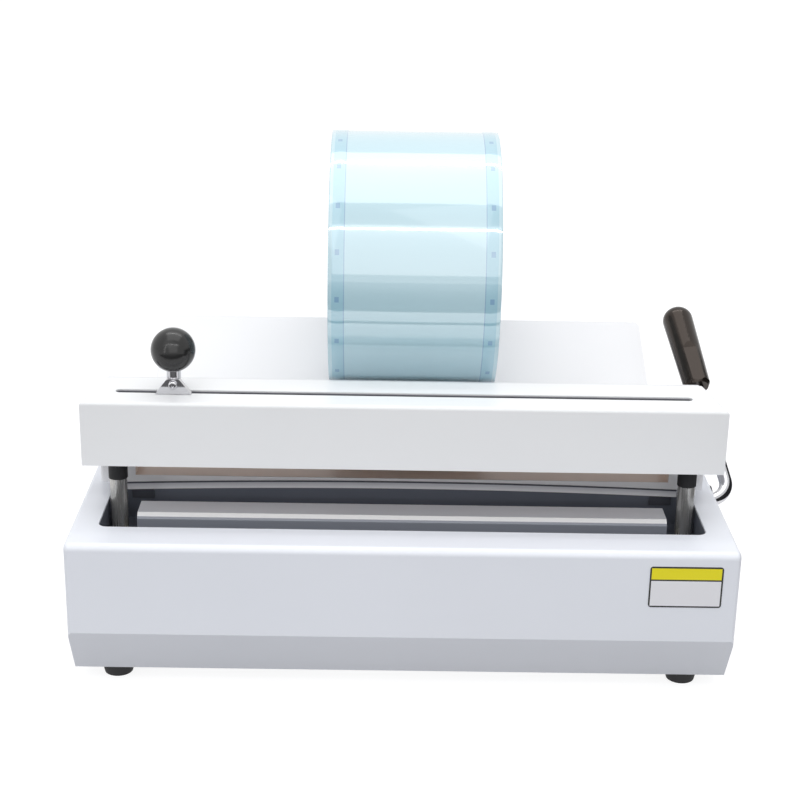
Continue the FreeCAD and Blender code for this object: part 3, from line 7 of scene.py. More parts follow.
import bpy
import bmesh
from mathutils import Matrix, Vector


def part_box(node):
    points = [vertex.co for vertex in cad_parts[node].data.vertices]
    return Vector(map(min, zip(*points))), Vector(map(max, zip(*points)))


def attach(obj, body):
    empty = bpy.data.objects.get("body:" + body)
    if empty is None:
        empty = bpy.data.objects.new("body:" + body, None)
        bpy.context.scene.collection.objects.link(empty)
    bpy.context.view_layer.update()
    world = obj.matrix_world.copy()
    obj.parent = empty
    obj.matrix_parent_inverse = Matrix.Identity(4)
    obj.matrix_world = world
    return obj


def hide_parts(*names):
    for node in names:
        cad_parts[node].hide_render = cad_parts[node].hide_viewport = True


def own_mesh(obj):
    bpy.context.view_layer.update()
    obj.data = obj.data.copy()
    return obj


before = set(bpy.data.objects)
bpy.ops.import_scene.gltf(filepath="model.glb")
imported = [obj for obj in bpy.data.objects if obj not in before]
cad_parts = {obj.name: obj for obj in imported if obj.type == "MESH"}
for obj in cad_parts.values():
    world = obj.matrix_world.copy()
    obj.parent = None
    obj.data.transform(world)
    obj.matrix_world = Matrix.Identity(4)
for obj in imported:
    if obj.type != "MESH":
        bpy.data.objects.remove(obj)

log = logging.getLogger("bag_sealer")
MM = 0.001
Number = Union[float, "Signal"]
Colour = tuple[float, float, float, float]
Triple = tuple[float, float, float]
BLACK: Colour = (0.0, 0.0, 0.0, 1.0)
LIGHT: Colour = (1.0, 1.0, 1.0, 1.0)
MERGED = 0.001 * MM
FACING = 0.9


def tone(red: int, green: int, blue: int) -> Colour:
    """Turn a screen colour into the linear colour that shaders take.

    Args:
        red: Red part, 0 to 255.
        green: Green part, 0 to 255.
        blue: Blue part, 0 to 255.

    Returns:
        The linear colour with full cover.
    """
    def straight(part: int) -> float:
        """Undo the screen curve of one part."""
        share = part / 255
        return share / 12.92 if share <= 0.04045 else ((share + 0.055) / 1.055) ** 2.4

    return straight(red), straight(green), straight(blue), 1.0


class Signal:
    """A number that comes out of a node, so that shader maths reads as plain maths."""

    def __init__(self, graph: "Graph", socket: bpy.types.NodeSocket) -> None:
        """Keep the graph and the socket that the number leaves from."""
        self.graph = graph
        self.socket = socket

    def __add__(self, other: Number) -> "Signal":
        """Sum."""
        return self.graph.maths("ADD", self, other)

    __radd__ = __add__

    def __mul__(self, other: Number) -> "Signal":
        """Product."""
        return self.graph.maths("MULTIPLY", self, other)

    __rmul__ = __mul__

    def __sub__(self, other: Number) -> "Signal":
        """Difference."""
        return self.graph.maths("SUBTRACT", self, other)

    def __rsub__(self, other: Number) -> "Signal":
        """Difference from a plain number."""
        return self.graph.maths("SUBTRACT", other, self)

    def __pow__(self, other: Number) -> "Signal":
        """Power."""
        return self.graph.maths("POWER", self, other)

    def __gt__(self, other: Number) -> "Signal":
        """One where this number is larger, else zero."""
        return self.graph.maths("GREATER_THAN", self, other)

    def __lt__(self, other: Number) -> "Signal":
        """One where this number is smaller, else zero."""
        return self.graph.maths("LESS_THAN", self, other)

    def __abs__(self) -> "Signal":
        """Size without its sign."""
        return self.graph.maths("ABSOLUTE", self)


class Graph:
    """The node tree of a material or of the world."""

    def __init__(self, owner: Union[bpy.types.Material, bpy.types.World]) -> None:
        """Take up the tree of its owner.

        Args:
            owner: The material or the world.
        """
        owner.use_nodes = True
        self.owner = owner
        self.tree = owner.node_tree

    @classmethod
    def fresh(cls, name: str) -> "Graph":
        """Start a material that holds only a shader and its output."""
        return cls(bpy.data.materials.new(name))

    @property
    def shader(self) -> bpy.types.Node:
        """The main shader of a material."""
        return self.tree.nodes["Principled BSDF"]

    def add(self, kind: str, settings: Optional[dict[str, Any]] = None,
            inputs: Optional[dict[Any, Any]] = None) -> bpy.types.Node:
        """Add any node.

        Args:
            kind: The node's type.
            settings: Properties that are set first; "stops" are the stops of a colour ramp.
            inputs: Values or links by socket name or number.

        Returns:
            The new node.
        """
        node = self.tree.nodes.new(kind)
        for key, value in (settings or {}).items():
            if key == "stops":
                self._set_stops(node, value)
            else:
                setattr(node, key, value)
        for key, value in (inputs or {}).items():
            self.feed(node.inputs[key], value)
        return node

    @staticmethod
    def _set_stops(node: bpy.types.Node, stops: Sequence[tuple[float, Colour]]) -> None:
        """Set the stops of a colour ramp.

        Args:
            node: The ramp.
            stops: Places along it, 0 to 1, with their colours.
        """
        ramp = node.color_ramp
        while len(ramp.elements) < len(stops):
            ramp.elements.new(1.0)
        for element, (place, colour) in zip(ramp.elements, stops):
            element.position = place
            element.color = colour

    def feed(self, socket: bpy.types.NodeSocket, value: Any) -> None:
        """Link a signal or a node's socket to a socket, or set a plain value.

        Args:
            socket: Where it goes.
            value: A signal, a node's output or a constant.
        """
        if isinstance(value, Signal):
            value = value.socket
        if isinstance(value, bpy.types.NodeSocket):
            self.tree.links.new(value, socket)
        else:
            socket.default_value = value

    def maths(self, operation: str, *values: Number) -> Signal:
        """Join numbers through one Math node."""
        node = self.add("ShaderNodeMath", {"operation": operation}, dict(enumerate(values)))
        return Signal(self, node.outputs[0])

    def ramp(self, share: Number, stops: Sequence[tuple[float, Colour]]) -> bpy.types.NodeSocket:
        """Colour along a ramp by a share."""
        return self.add("ShaderNodeValToRGB", {"stops": stops}, {"Fac": share}).outputs["Color"]

    def place(self, stretch: Sequence[float] = (1, 1, 1),
              centre: Sequence[float] = (0, 0, 0)) -> bpy.types.NodeSocket:
        """Object coordinates, centred on a point and then stretched.

        Args:
            stretch: Factors along X, Y and Z.
            centre: The point that becomes zero.

        Returns:
            The vector.
        """
        source = self.add("ShaderNodeTexCoord")
        moved = self.add("ShaderNodeVectorMath", {"operation": "SUBTRACT"},
                         {0: source.outputs["Object"], 1: tuple(centre)})
        scaled = self.add("ShaderNodeVectorMath", {"operation": "MULTIPLY"},
                          {0: moved.outputs[0], 1: tuple(stretch)})
        return scaled.outputs[0]

    def axes(self, centre: Sequence[float] = (0, 0, 0)) -> tuple[Signal, Signal, Signal]:
        """X, Y and Z of the surface, measured from a point."""
        node = self.add("ShaderNodeSeparateXYZ", None, {0: self.place(centre=centre)})
        return tuple(Signal(self, socket) for socket in node.outputs)

    def noise(self, scale: float, detail: float = 2.0, stretch: Sequence[float] = (1, 1, 1)) -> Signal:
        """Cloudy noise that averages a half.

        Args:
            scale: Clouds per metre.
            detail: How many finer layers it has.
            stretch: Factors along X, Y and Z.

        Returns:
            The noise.
        """
        node = self.add("ShaderNodeTexNoise", {"noise_dimensions": "3D"},
                        {"Vector": self.place(stretch), "Scale": scale, "Detail": detail})
        return Signal(self, node.outputs["Fac"])

    def mix(self, share: Number, first: Any, second: Any) -> bpy.types.NodeSocket:
        """Blend two colours by a share."""
        node = self.add("ShaderNodeMix", {"data_type": "RGBA"}, {0: share, 6: first, 7: second})
        return node.outputs[2]

    def between(self, value: Signal, low: float, high: float) -> Signal:
        """Rise from zero to one while a number goes from low to high.

        Args:
            value: The number.
            low: Where it gives zero.
            high: Where it gives one.

        Returns:
            The share.
        """
        node = self.add("ShaderNodeMapRange", {"clamp": True},
                        {"Value": value, "From Min": low, "From Max": high})
        return Signal(self, node.outputs[0])

    def band(self, value: Signal, low: float, high: float) -> Signal:
        """One inside a range of a number, else zero."""
        return (value > low) * (value < high)

    def white_to_lens(self) -> Signal:
        """One for rays of the lens, of gloss and of glass, else zero.

        Returns:
            The share of white.
        """
        path = self.add("ShaderNodeLightPath")
        gloss = self.maths("MAXIMUM", path.outputs["Is Camera Ray"], path.outputs["Is Glossy Ray"])
        return self.maths("MAXIMUM", gloss, path.outputs["Is Transmission Ray"])

    def bump(self, height: Number, depth: float, strength: float) -> None:
        """Raise the surface by a height signal.

        Args:
            height: The relief, 0 to 1.
            depth: The depth of the relief in metres.
            strength: How much of it shows.
        """
        node = self.add("ShaderNodeBump", None, {"Strength": strength, "Distance": depth, "Height": height})
        self.feed(self.shader.inputs["Normal"], node.outputs[0])

    def coat(self, weight: float, roughness: float, density: float = 1.5) -> None:
        """Lay a clear coat of one weight, roughness and optical density over the shader.

        Args:
            weight: How much of it there is, 0 to 1.
            roughness: Its roughness.
            density: Its index of refraction.
        """
        self.shader.inputs["Coat Weight"].default_value = weight
        self.shader.inputs["Coat Roughness"].default_value = roughness
        self.shader.inputs["Coat IOR"].default_value = density

    def finish(self, colour: Any, roughness: Number) -> bpy.types.Material:
        """Feed colour and roughness to the shader and hand out the material.

        Args:
            colour: A colour or a link.
            roughness: A number or a link.

        Returns:
            The finished material.
        """
        self.feed(self.shader.inputs["Base Color"], colour)
        self.feed(self.shader.inputs["Roughness"], roughness)
        return self.owner


class Axis(Enum):
    """The way that a metal's grain runs, as how much it is squeezed along X, Y and Z."""

    ALONG_X = (0.02, 1.0, 1.0)
    ALONG_Y = (1.0, 0.02, 1.0)
    ALONG_Z = (1.0, 1.0, 0.02)


@dataclass(frozen=True)
class Enamel:
    """Stoved coating on sheet steel, with fine orange peel and a little handling wear."""

    name: str
    colour: Colour
    soiled: Colour
    roughness: float = 0.36
    peel: float = 900.0
    depth: float = 0.00003

    def inside_tone_and_shade(self, graph: Graph, coat: bpy.types.NodeSocket) -> bpy.types.NodeSocket:
        """Colour of the coating; plain enamel paints no tone and no shade inside."""
        return coat

    def make(self) -> bpy.types.Material:
        """Build the material.

        Returns:
            The material.
        """
        graph = Graph.fresh(self.name)
        soil = graph.between(graph.noise(9.0, 5.0), 0.42, 0.75)
        coat = graph.mix(soil * 0.35, self.colour, self.soiled)
        graph.coat(0.25, 0.18)
        graph.bump(graph.noise(self.peel, 2.0), self.depth, 0.35)
        return graph.finish(self.inside_tone_and_shade(graph, coat), self.roughness + (graph.noise(40.0, 3.0) - 0.5) * 0.12)


@dataclass(frozen=True)
class WindowEnamel(Enamel):
    """The same coating round the window of the web, coloured taupe inside the window."""

    window_taupe: Colour = tone(236, 218, 205)
    jamb: float = 20.7 * MM
    sill: float = 4.6 * MM
    opening: float = 13.9 * MM
    skin: float = 0.6 * MM

    def inside_tone_and_shade(self, graph: Graph, coat: bpy.types.NodeSocket) -> bpy.types.NodeSocket:
        """Colour of the coating, taupe inside the window.

        Args:
            graph: The nodes of the material.
            coat: Colour of the coating.

        Returns:
            The colour, taupe inside the window.
        """
        low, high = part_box("feed_housing")
        x, y, z = graph.axes()
        inside = (graph.band(x, low.x + self.jamb - self.skin, high.x - self.jamb + self.skin)
                  * graph.band(z, low.z + self.sill - self.skin, low.z + self.sill + self.opening + self.skin)
                  * graph.band(y, low.y + self.skin, high.y + 2 * self.skin))
        # every face inside the window takes the taupe colour
        return graph.mix(inside, coat, self.window_taupe)


@dataclass(frozen=True)
class BeamEnamel(Enamel):
    """The same coating on the beam, whose hollow is painted grey as shade."""

    # grey painted inside the hollow beam as shade
    hollow_shade: Colour = tone(150, 150, 158)
    skin: float = 0.8 * MM
    taper: float = 7.5 * MM

    def inside_tone_and_shade(self, graph: Graph, coat: bpy.types.NodeSocket) -> bpy.types.NodeSocket:
        """Colour of the coating, with painted shade inside the hollow beam.

        Args:
            graph: The nodes of the material.
            coat: Colour of the coating.

        Returns:
            The colour with painted shade inside the hollow.
        """
        low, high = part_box("beam_cover")
        x, y, z = graph.axes(((low.x + high.x) / 2, low.y, 0))
        depth = high.y - low.y
        end = (high.x - low.x) / 2 - self.skin - y * (self.taper / depth)
        # painted shade: every face inside the hollow beam takes the grey
        inside = (abs(x) < end) * graph.band(y, self.skin, depth - self.skin) * (z < high.z - self.skin)
        return graph.mix(inside, coat, self.hollow_shade)


@dataclass(frozen=True)
class Metal:
    """Bare or plated metal with a grain that runs one way."""

    name: str
    colour: Colour
    stained: Colour
    grain: Axis = Axis.ALONG_X
    roughness: float = 0.32
    scale: float = 1500.0
    depth: float = 0.00002
    bare: float = 1.0

    def make(self) -> bpy.types.Material:
        """Build the material.

        Returns:
            The material.
        """
        graph = Graph.fresh(self.name)
        lines = graph.noise(self.scale, 3.0, self.grain.value)
        stains = graph.noise(30.0, 5.0)
        graph.shader.inputs["Metallic"].default_value = self.bare
        graph.bump(lines, self.depth, 0.25)
        return graph.finish(graph.mix(graph.between(stains, 0.4, 0.8) * 0.6, self.colour, self.stained),
                            self.roughness + (lines - 0.5) * 0.25 + (stains - 0.5) * 0.15)


@dataclass(frozen=True)
class BowedStrip:
    """Spring strip that guides the web: pale steel, darker towards its upper edge, with a painted shadow line
    along its top rim.
    """

    name: str
    pale: Colour
    upper_tone: Colour
    line: Colour
    rim: float = 0.7 * MM
    height: float = 4.4 * MM
    bow: float = 2.9 * MM

    def make(self) -> bpy.types.Material:
        """Build the material, with a painted shadow line along the top rim, and dark on the lugs below the
        strip.

        Returns:
            The material.
        """
        low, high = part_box("guide_strip")
        graph = Graph.fresh(self.name)
        x, _, z = graph.axes(((low.x + high.x) / 2, 0, high.z - self.height - self.bow))
        share = x * (2 / (high.x - low.x))
        rise = z - (1 - share * share) * self.bow
        lines = graph.noise(1200.0, 3.0, Axis.ALONG_X.value)
        graph.bump(lines, 0.00002, 0.25)
        # pale at the foot of the strip, darker towards its upper edge
        face = graph.mix(graph.between(rise, 0.0, self.height), self.pale, self.upper_tone)
        # painted shadow line: the top rim takes the dark colour as the shadow in the gap under the housing;
        # the lugs below the bow take it too
        shadow_line_and_lugs = 1 - graph.band(rise, 0.0, self.height - self.rim)
        return graph.finish(graph.mix(shadow_line_and_lugs, face, self.line), 0.36 + (lines - 0.5) * 0.2)


@dataclass(frozen=True)
class Moulding:
    """Moulded plastic or rubber."""

    name: str
    colour: Colour
    wear_and_highlight: Colour
    roughness: float = 0.4
    scale: float = 700.0
    depth: float = 0.00004
    coat: float = 0.0
    shine: float = 0.5
    sheen: Colour = tone(255, 255, 255)

    def make(self) -> bpy.types.Material:
        """Build the material.

        Returns:
            The material.
        """
        graph = Graph.fresh(self.name)
        wear = graph.between(graph.noise(60.0, 6.0), 0.52, 0.8)
        graph.coat(self.coat, 0.08)
        graph.shader.inputs["Specular IOR Level"].default_value = self.shine
        graph.shader.inputs["Specular Tint"].default_value = self.sheen
        graph.bump(graph.noise(self.scale, 2.0), self.depth, 0.3)
        return graph.finish(graph.mix(wear * 0.5, self.colour, self.wear_and_highlight),
                            self.roughness + (graph.noise(90.0, 4.0) - 0.5) * 0.2)


@dataclass(frozen=True)
class HeatedBar:
    """Milled bar with a painted highlight along the upper part of its front bevel, and its top painted
    lighter than its front as light.
    """

    name: str
    # top colour painted lighter than the side as light falling from above
    top: Colour
    side: Colour
    # near white painted as the highlight on the bevel
    painted_highlight: Colour
    bevel: float = 3.0 * MM
    # height of the painted highlight on the bevel
    wear_and_highlight: float = 1.9 * MM
    edge: float = 0.2 * MM

    def make(self) -> bpy.types.Material:
        """Build the material.

        Returns:
            The material.
        """
        low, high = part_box("sealing_bar")
        graph = Graph.fresh(self.name)
        _, y, z = graph.axes()
        # painted highlight: the upper part of the front bevel takes the near white as light that it mirrors
        face = graph.band(y, low.y - MM, low.y + self.bevel + self.edge) * (z > high.z - self.wear_and_highlight)
        # painted light: the top faces take the lighter colour
        upper = (z > high.z - self.edge) * (1 - face)
        lines = graph.noise(1200.0, 3.0, Axis.ALONG_X.value)
        graph.feed(graph.shader.inputs["Metallic"], 0.2 - face * 0.15)
        graph.bump(lines, 0.00002, 0.25)
        return graph.finish(graph.mix(face, graph.mix(upper, self.side, self.top), self.painted_highlight),
                            0.45 + (lines - 0.5) * 0.2 - face * 0.1)


@dataclass(frozen=True)
class PouchWeb:
    """Clear blue film over white paper, wound up, with a sealed band along each edge."""

    name: str
    field: Colour
    pale: Colour
    edge: Colour
    mark: Colour
    seal: float = 9.0 * MM
    fold: float = 2.2 * MM
    line: float = 0.5 * MM
    marks: int = 18
    mark_turn: tuple[float, float] = (0.30, 0.42)
    mark_inset: tuple[float, float] = (4.0 * MM, 6.5 * MM)

    def make(self) -> bpy.types.Material:
        """Build the material.

        Returns:
            The material.
        """
        low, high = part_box("reel_film")
        graph = Graph.fresh(self.name)
        x, y, z = graph.axes((low + high) / 2)
        from_edge = (high.x - low.x) / 2 - abs(x)
        seam = graph.band(from_edge, self.fold, self.seal)
        rule = graph.band(from_edge, self.seal, self.seal + self.line)
        turn = graph.maths("ARCTAN2", z, y) * (self.marks / math.tau)
        tick = graph.maths("FRACT", turn + 0.25)
        marks = graph.band(tick, *self.mark_turn) * graph.band(from_edge, *self.mark_inset)
        clouds = graph.between(graph.noise(12.0, 2.0, (0.3, 1.0, 1.0)), 0.35, 0.7)
        body = graph.mix(clouds * 0.5, self.field, self.pale)
        banded = graph.mix(seam * 0.5, body, self.edge)
        ruled = graph.mix(rule * 0.5, banded, self.mark)
        graph.coat(1.0, 0.05, 2.25)
        graph.bump(graph.noise(60.0, 3.0, (0.08, 1.0, 1.0)), 0.0006, 0.35)
        return graph.finish(graph.mix(marks * 0.45, ruled, self.mark), 0.16 + clouds * 0.08)


@dataclass(frozen=True)
class WoundEdge:
    """The end of the reel, where the edges of paper and film show as rings."""

    name: str
    shade: Colour
    film: Colour
    paper: Colour
    rings: float = 2600.0

    def make(self) -> bpy.types.Material:
        """Build the material.

        Returns:
            The material.
        """
        low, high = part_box("reel_film")
        graph = Graph.fresh(self.name)
        _, y, z = graph.axes((low + high) / 2)
        radius = (y * y + z * z) ** 0.5
        rings = graph.maths("SINE", radius * self.rings + graph.noise(25.0, 2.0) * 5.0) * 0.5 + 0.5
        layers = rings * 0.7 + graph.noise(20.0, 3.0) * 0.3
        graph.bump(rings, 0.00008, 0.4)
        return graph.finish(graph.ramp(layers, [(0.1, self.shade), (0.45, self.film), (0.8, self.paper)]),
                            0.55 + rings * 0.1)


@dataclass(frozen=True)
class BarePlate:
    """Bare plate in two tones inside a dark border."""

    name: str
    upper: Colour
    lower: Colour
    border: Colour
    rim: float = 0.9 * MM
    share: float = 0.67

    def make(self, low: Vector, high: Vector) -> bpy.types.Material:
        """Build the material.

        Args:
            low: Lowest corner of the plate.
            high: Highest corner of the plate.

        Returns:
            The material.
        """
        graph = Graph.fresh(self.name)
        x, _, z = graph.axes((low + high) / 2)
        half_width = (high.x - low.x) / 2 - self.rim
        half_height = (high.z - low.z) / 2 - self.rim
        split = (high.z - low.z) * (self.share - 0.5)
        line = graph.band(z, split - self.rim / 2, split + self.rim / 2)
        inside = (abs(x) < half_width) * (abs(z) < half_height) * (1 - line)
        tones = graph.mix(z > split, self.lower, self.upper)
        graph.bump(graph.noise(400.0, 2.0), 0.00002, 0.2)
        return graph.finish(graph.mix(inside, self.border, tones),
                            0.32 + (graph.noise(120.0, 3.0) - 0.5) * 0.1)


WHITE = Enamel("white_enamel", tone(238, 241, 248), tone(230, 233, 240))
# the beam's enamel carries painted shade inside its hollow
BEAM_WHITE = BeamEnamel("beam_enamel", tone(243, 244, 245), tone(236, 237, 239))
WINDOW_ENAMEL = WindowEnamel("window_enamel", tone(234, 234, 236), tone(228, 228, 231))
DARK = Enamel("dark_enamel", tone(108, 113, 125), tone(88, 92, 103), 0.5, 700.0)
SHEET = Metal("zinc_sheet", tone(176, 178, 180), tone(150, 152, 156), Axis.ALONG_Y, 0.42, 900.0)
GROUND = Metal("ground_steel", tone(150, 148, 144), tone(96, 93, 88), Axis.ALONG_X, 0.25, 1800.0)
POSTS = Metal("post_steel", tone(186, 185, 182), tone(140, 138, 134), Axis.ALONG_Z, 0.26, 1600.0, bare=0.7)
# the last colour is a painted shadow line along the strip's top rim, also on its lugs
GUIDE = BowedStrip("guide_steel", tone(252, 252, 254), tone(186, 187, 196), tone(74, 76, 84))
STRIP = Metal("strip_steel", tone(168, 171, 180), tone(140, 143, 152), Axis.ALONG_X, 0.35, 1200.0, bare=0.5)
CHROME = Metal("chrome_plate", tone(202, 202, 205), tone(182, 182, 186), Axis.ALONG_X, 0.07, 600.0, 0.000004)
ALUMINIUM = Metal("bar_aluminium", tone(196, 198, 201), tone(168, 170, 174), Axis.ALONG_X, 0.36, 1300.0)
BRONZE = Metal("bush_bronze", tone(190, 150, 96), tone(150, 112, 66), Axis.ALONG_X, 0.4, 1100.0)
KNOB = Moulding("ball_gloss", tone(34, 34, 34), tone(44, 43, 42), 0.2, 500.0, 0.00001, 0.1, 0.4)
GRIP = Moulding("grip_gloss", tone(24, 21, 19), tone(38, 32, 28), 0.2, 260.0, 0.00003, 0.0, 0.5,
                tone(255, 236, 224))
MATTE = Moulding("black_matte", tone(30, 30, 31), tone(48, 48, 50), 0.62, 1200.0, 0.00006)
ROCKER = Moulding("rocker_gloss", tone(28, 28, 30), tone(44, 44, 46), 0.3, 600.0, 0.00002, 0.4)
CREAM = Moulding("cream_plastic", tone(222, 214, 192), tone(200, 190, 164), 0.5, 800.0)
MICA = Moulding("heater_mica", tone(166, 146, 112), tone(138, 118, 86), 0.6, 300.0, 0.00008)
RUBBER = Moulding("black_rubber", tone(32, 32, 34), tone(54, 54, 57), 0.72, 900.0, 0.00008)
SILICONE = Moulding("silicone", tone(190, 92, 74), tone(164, 76, 60), 0.65, 650.0, 0.00008)
BOARD = Moulding("core_board", tone(178, 156, 122), tone(150, 128, 96), 0.8, 240.0, 0.0001)
# the top colour is painted lighter than the front as light, and the white is a painted highlight on the bevel
BAR = HeatedBar("bar_faces", tone(232, 235, 241), tone(156, 160, 170), tone(254, 254, 254))
WEB = PouchWeb("pouch_film", tone(178, 214, 225), tone(204, 228, 236), tone(132, 190, 211),
               tone(72, 116, 180))
EDGE = WoundEdge("wound_edge", tone(150, 176, 188), tone(186, 214, 226), tone(240, 243, 244))
PLATE = BarePlate("plate_tones", tone(240, 228, 24), tone(236, 236, 240), tone(24, 24, 24))


class Bench:
    """Modelling by hand: small steps on the piece that is being edited."""

    @staticmethod
    def clear() -> None:
        """Leave edit mode and deselect every object."""
        if bpy.context.object and bpy.context.object.mode != "OBJECT":
            bpy.ops.object.mode_set(mode="OBJECT")
        bpy.ops.object.select_all(action="DESELECT")

    @staticmethod
    def start(adder: Callable[..., Any], name: str, scale: Triple = (1, 1, 1),
              **options: Any) -> bpy.types.Object:
        """Add a primitive, put its place into its mesh and open it for editing.

        Args:
            adder: The primitive operator.
            name: Name of the piece.
            scale: Stretch of the primitive along its own axes.
            options: What the operator takes.

        Returns:
            The new piece, in edit mode with nothing selected.
        """
        Bench.clear()
        adder(**options)
        piece = bpy.context.object
        piece.name = name
        piece.data.name = name
        piece.scale = scale
        bpy.ops.object.transform_apply(location=True, rotation=True, scale=True)
        bpy.ops.object.mode_set(mode="EDIT")
        bpy.ops.mesh.select_all(action="DESELECT")
        return piece

    @staticmethod
    def pick_faces(piece: bpy.types.Object, test: Callable[[bmesh.types.BMFace], bool]) -> None:
        """Select the faces that pass a test.

        Args:
            piece: The piece in edit mode.
            test: Says of each face whether it is picked.
        """
        bpy.ops.mesh.select_mode(type="FACE")
        bpy.ops.mesh.select_all(action="DESELECT")
        mesh = bmesh.from_edit_mesh(piece.data)
        for face in mesh.faces:
            face.select = test(face)
        mesh.select_flush_mode()
        bmesh.update_edit_mesh(piece.data)

    @staticmethod
    def pick_edges(piece: bpy.types.Object, test: Callable[[bmesh.types.BMEdge], bool]) -> None:
        """Select the edges that pass a test.

        Args:
            piece: The piece in edit mode.
            test: Says of each edge whether it is picked.
        """
        bpy.ops.mesh.select_mode(type="EDGE")
        bpy.ops.mesh.select_all(action="DESELECT")
        mesh = bmesh.from_edit_mesh(piece.data)
        for edge in mesh.edges:
            edge.select = test(edge)
        bmesh.update_edit_mesh(piece.data)

    @staticmethod
    def finish(piece: bpy.types.Object, body: str, slot: str, material: bpy.types.Material,
               angle: float = 35.0) -> bpy.types.Object:
        """Leave edit mode, give the piece its finish and let it ride on its body.

        Args:
            piece: The piece in edit mode.
            body: The body that it rides on.
            slot: The record's material slot; not used.
            material: Its finish.
            angle: The sharpest bend in degrees that is still shaded smooth.

        Returns:
            The finished piece.
        """
        bpy.ops.mesh.select_all(action="SELECT")
        bpy.ops.mesh.remove_doubles(threshold=MERGED)
        bpy.ops.mesh.normals_make_consistent(inside=False)
        Bench.clear()
        piece.select_set(True)
        bpy.context.view_layer.objects.active = piece
        bpy.ops.object.shade_smooth_by_angle(angle=math.radians(angle))
        piece.data.materials.clear()
        piece.data.materials.append(material)
        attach(piece, body)
        log.info("piece %s rides on %s", piece.name, body)
        return piece


def dress(names: Iterable[str], material: bpy.types.Material) -> None:
    """Give CAD nodes a finish.

    Args:
        names: The nodes.
        material: The finish for all their slots.
    """
    for name in names:
        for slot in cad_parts[name].material_slots:
            slot.material = material
        log.info("node %s wears %s", name, material.name)


@dataclass(frozen=True)
class PanScrew:
    """A pan-head screw with a square driver recess, of which only the head shows."""

    radius: float
    height: float
    rounding: float = 0.55
    recess: float = 0.25
    recess_depth: float = 0.45
    sides: int = 24

    def place(self, name: str, seat: Vector, way: Vector, body: str, slot: str,
              material: bpy.types.Material) -> bpy.types.Object:
        """Model the head on its seat.

        Args:
            name: Name of the piece.
            seat: Middle of the face that it sits on.
            way: Where the head looks.
            body: The body that it rides on.
            slot: The record's material slot.
            material: Its finish.

        Returns:
            The piece.
        """
        turn = way.to_track_quat("Z", "Y").to_euler()
        piece = Bench.start(bpy.ops.mesh.primitive_cylinder_add, name, vertices=self.sides,
                            radius=self.radius, depth=self.height, rotation=turn,
                            location=seat + way * (self.height / 2))
        top = way.dot(seat) + self.height
        near = self.height * 0.01
        Bench.pick_edges(piece, lambda edge: all(abs(way.dot(v.co) - top) < near for v in edge.verts))
        bpy.ops.mesh.bevel(offset=self.height * self.rounding, segments=4, affect="EDGES")
        Bench.pick_faces(piece, lambda face: face.normal.dot(way) > 0.999 and len(face.verts) > 4)
        bpy.ops.mesh.inset(thickness=self.radius * self.recess, depth=0.0)
        bpy.ops.mesh.inset(thickness=self.radius * self.recess / 4, depth=-self.height * self.recess_depth)
        return Bench.finish(piece, body, slot, material)


@dataclass(frozen=True)
class ReturnSpring:
    """A round-wire coil below a lift arm; the real one shortens as the beam comes down, this one is wound at
    one length.
    """

    wire: float = 1.2 * MM
    turns: int = 5
    steps: int = 24
    sides: int = 8
    travel: float = 27.0 * MM

    def wind(self, node: str, material: bpy.types.Material) -> bpy.types.Object:
        """Wind the coil in the place of its CAD node.

        Args:
            node: The node that it stands for.
            material: Its finish.

        Returns:
            The piece.
        """
        low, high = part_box(node)
        centre = (low + high) / 2
        height = high.z - low.z
        piece = Bench.start(bpy.ops.mesh.primitive_circle_add, node + "_coil", vertices=self.sides,
                            radius=self.wire / 2, rotation=(math.pi / 2, 0, 0),
                            location=((high.x - low.x - self.wire) / 2, 0, 0))
        bpy.ops.object.mode_set(mode="OBJECT")
        coil = piece.modifiers.new("coil", "SCREW")
        coil.screw_offset = (height - self.wire) / self.turns
        coil.iterations = self.turns
        coil.steps = coil.render_steps = self.steps
        bpy.ops.object.modifier_apply(modifier=coil.name)
        bpy.ops.object.mode_set(mode="EDIT")
        bpy.ops.mesh.select_all(action="SELECT")
        bpy.ops.mesh.fill_holes(sides=self.sides)
        bpy.ops.mesh.select_all(action="SELECT")
        bpy.ops.transform.translate(value=(centre.x, centre.y, low.z + self.wire / 2))
        Bench.finish(piece, "base", "strip_steel", material)
        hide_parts(node)
        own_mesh(piece)
        return piece


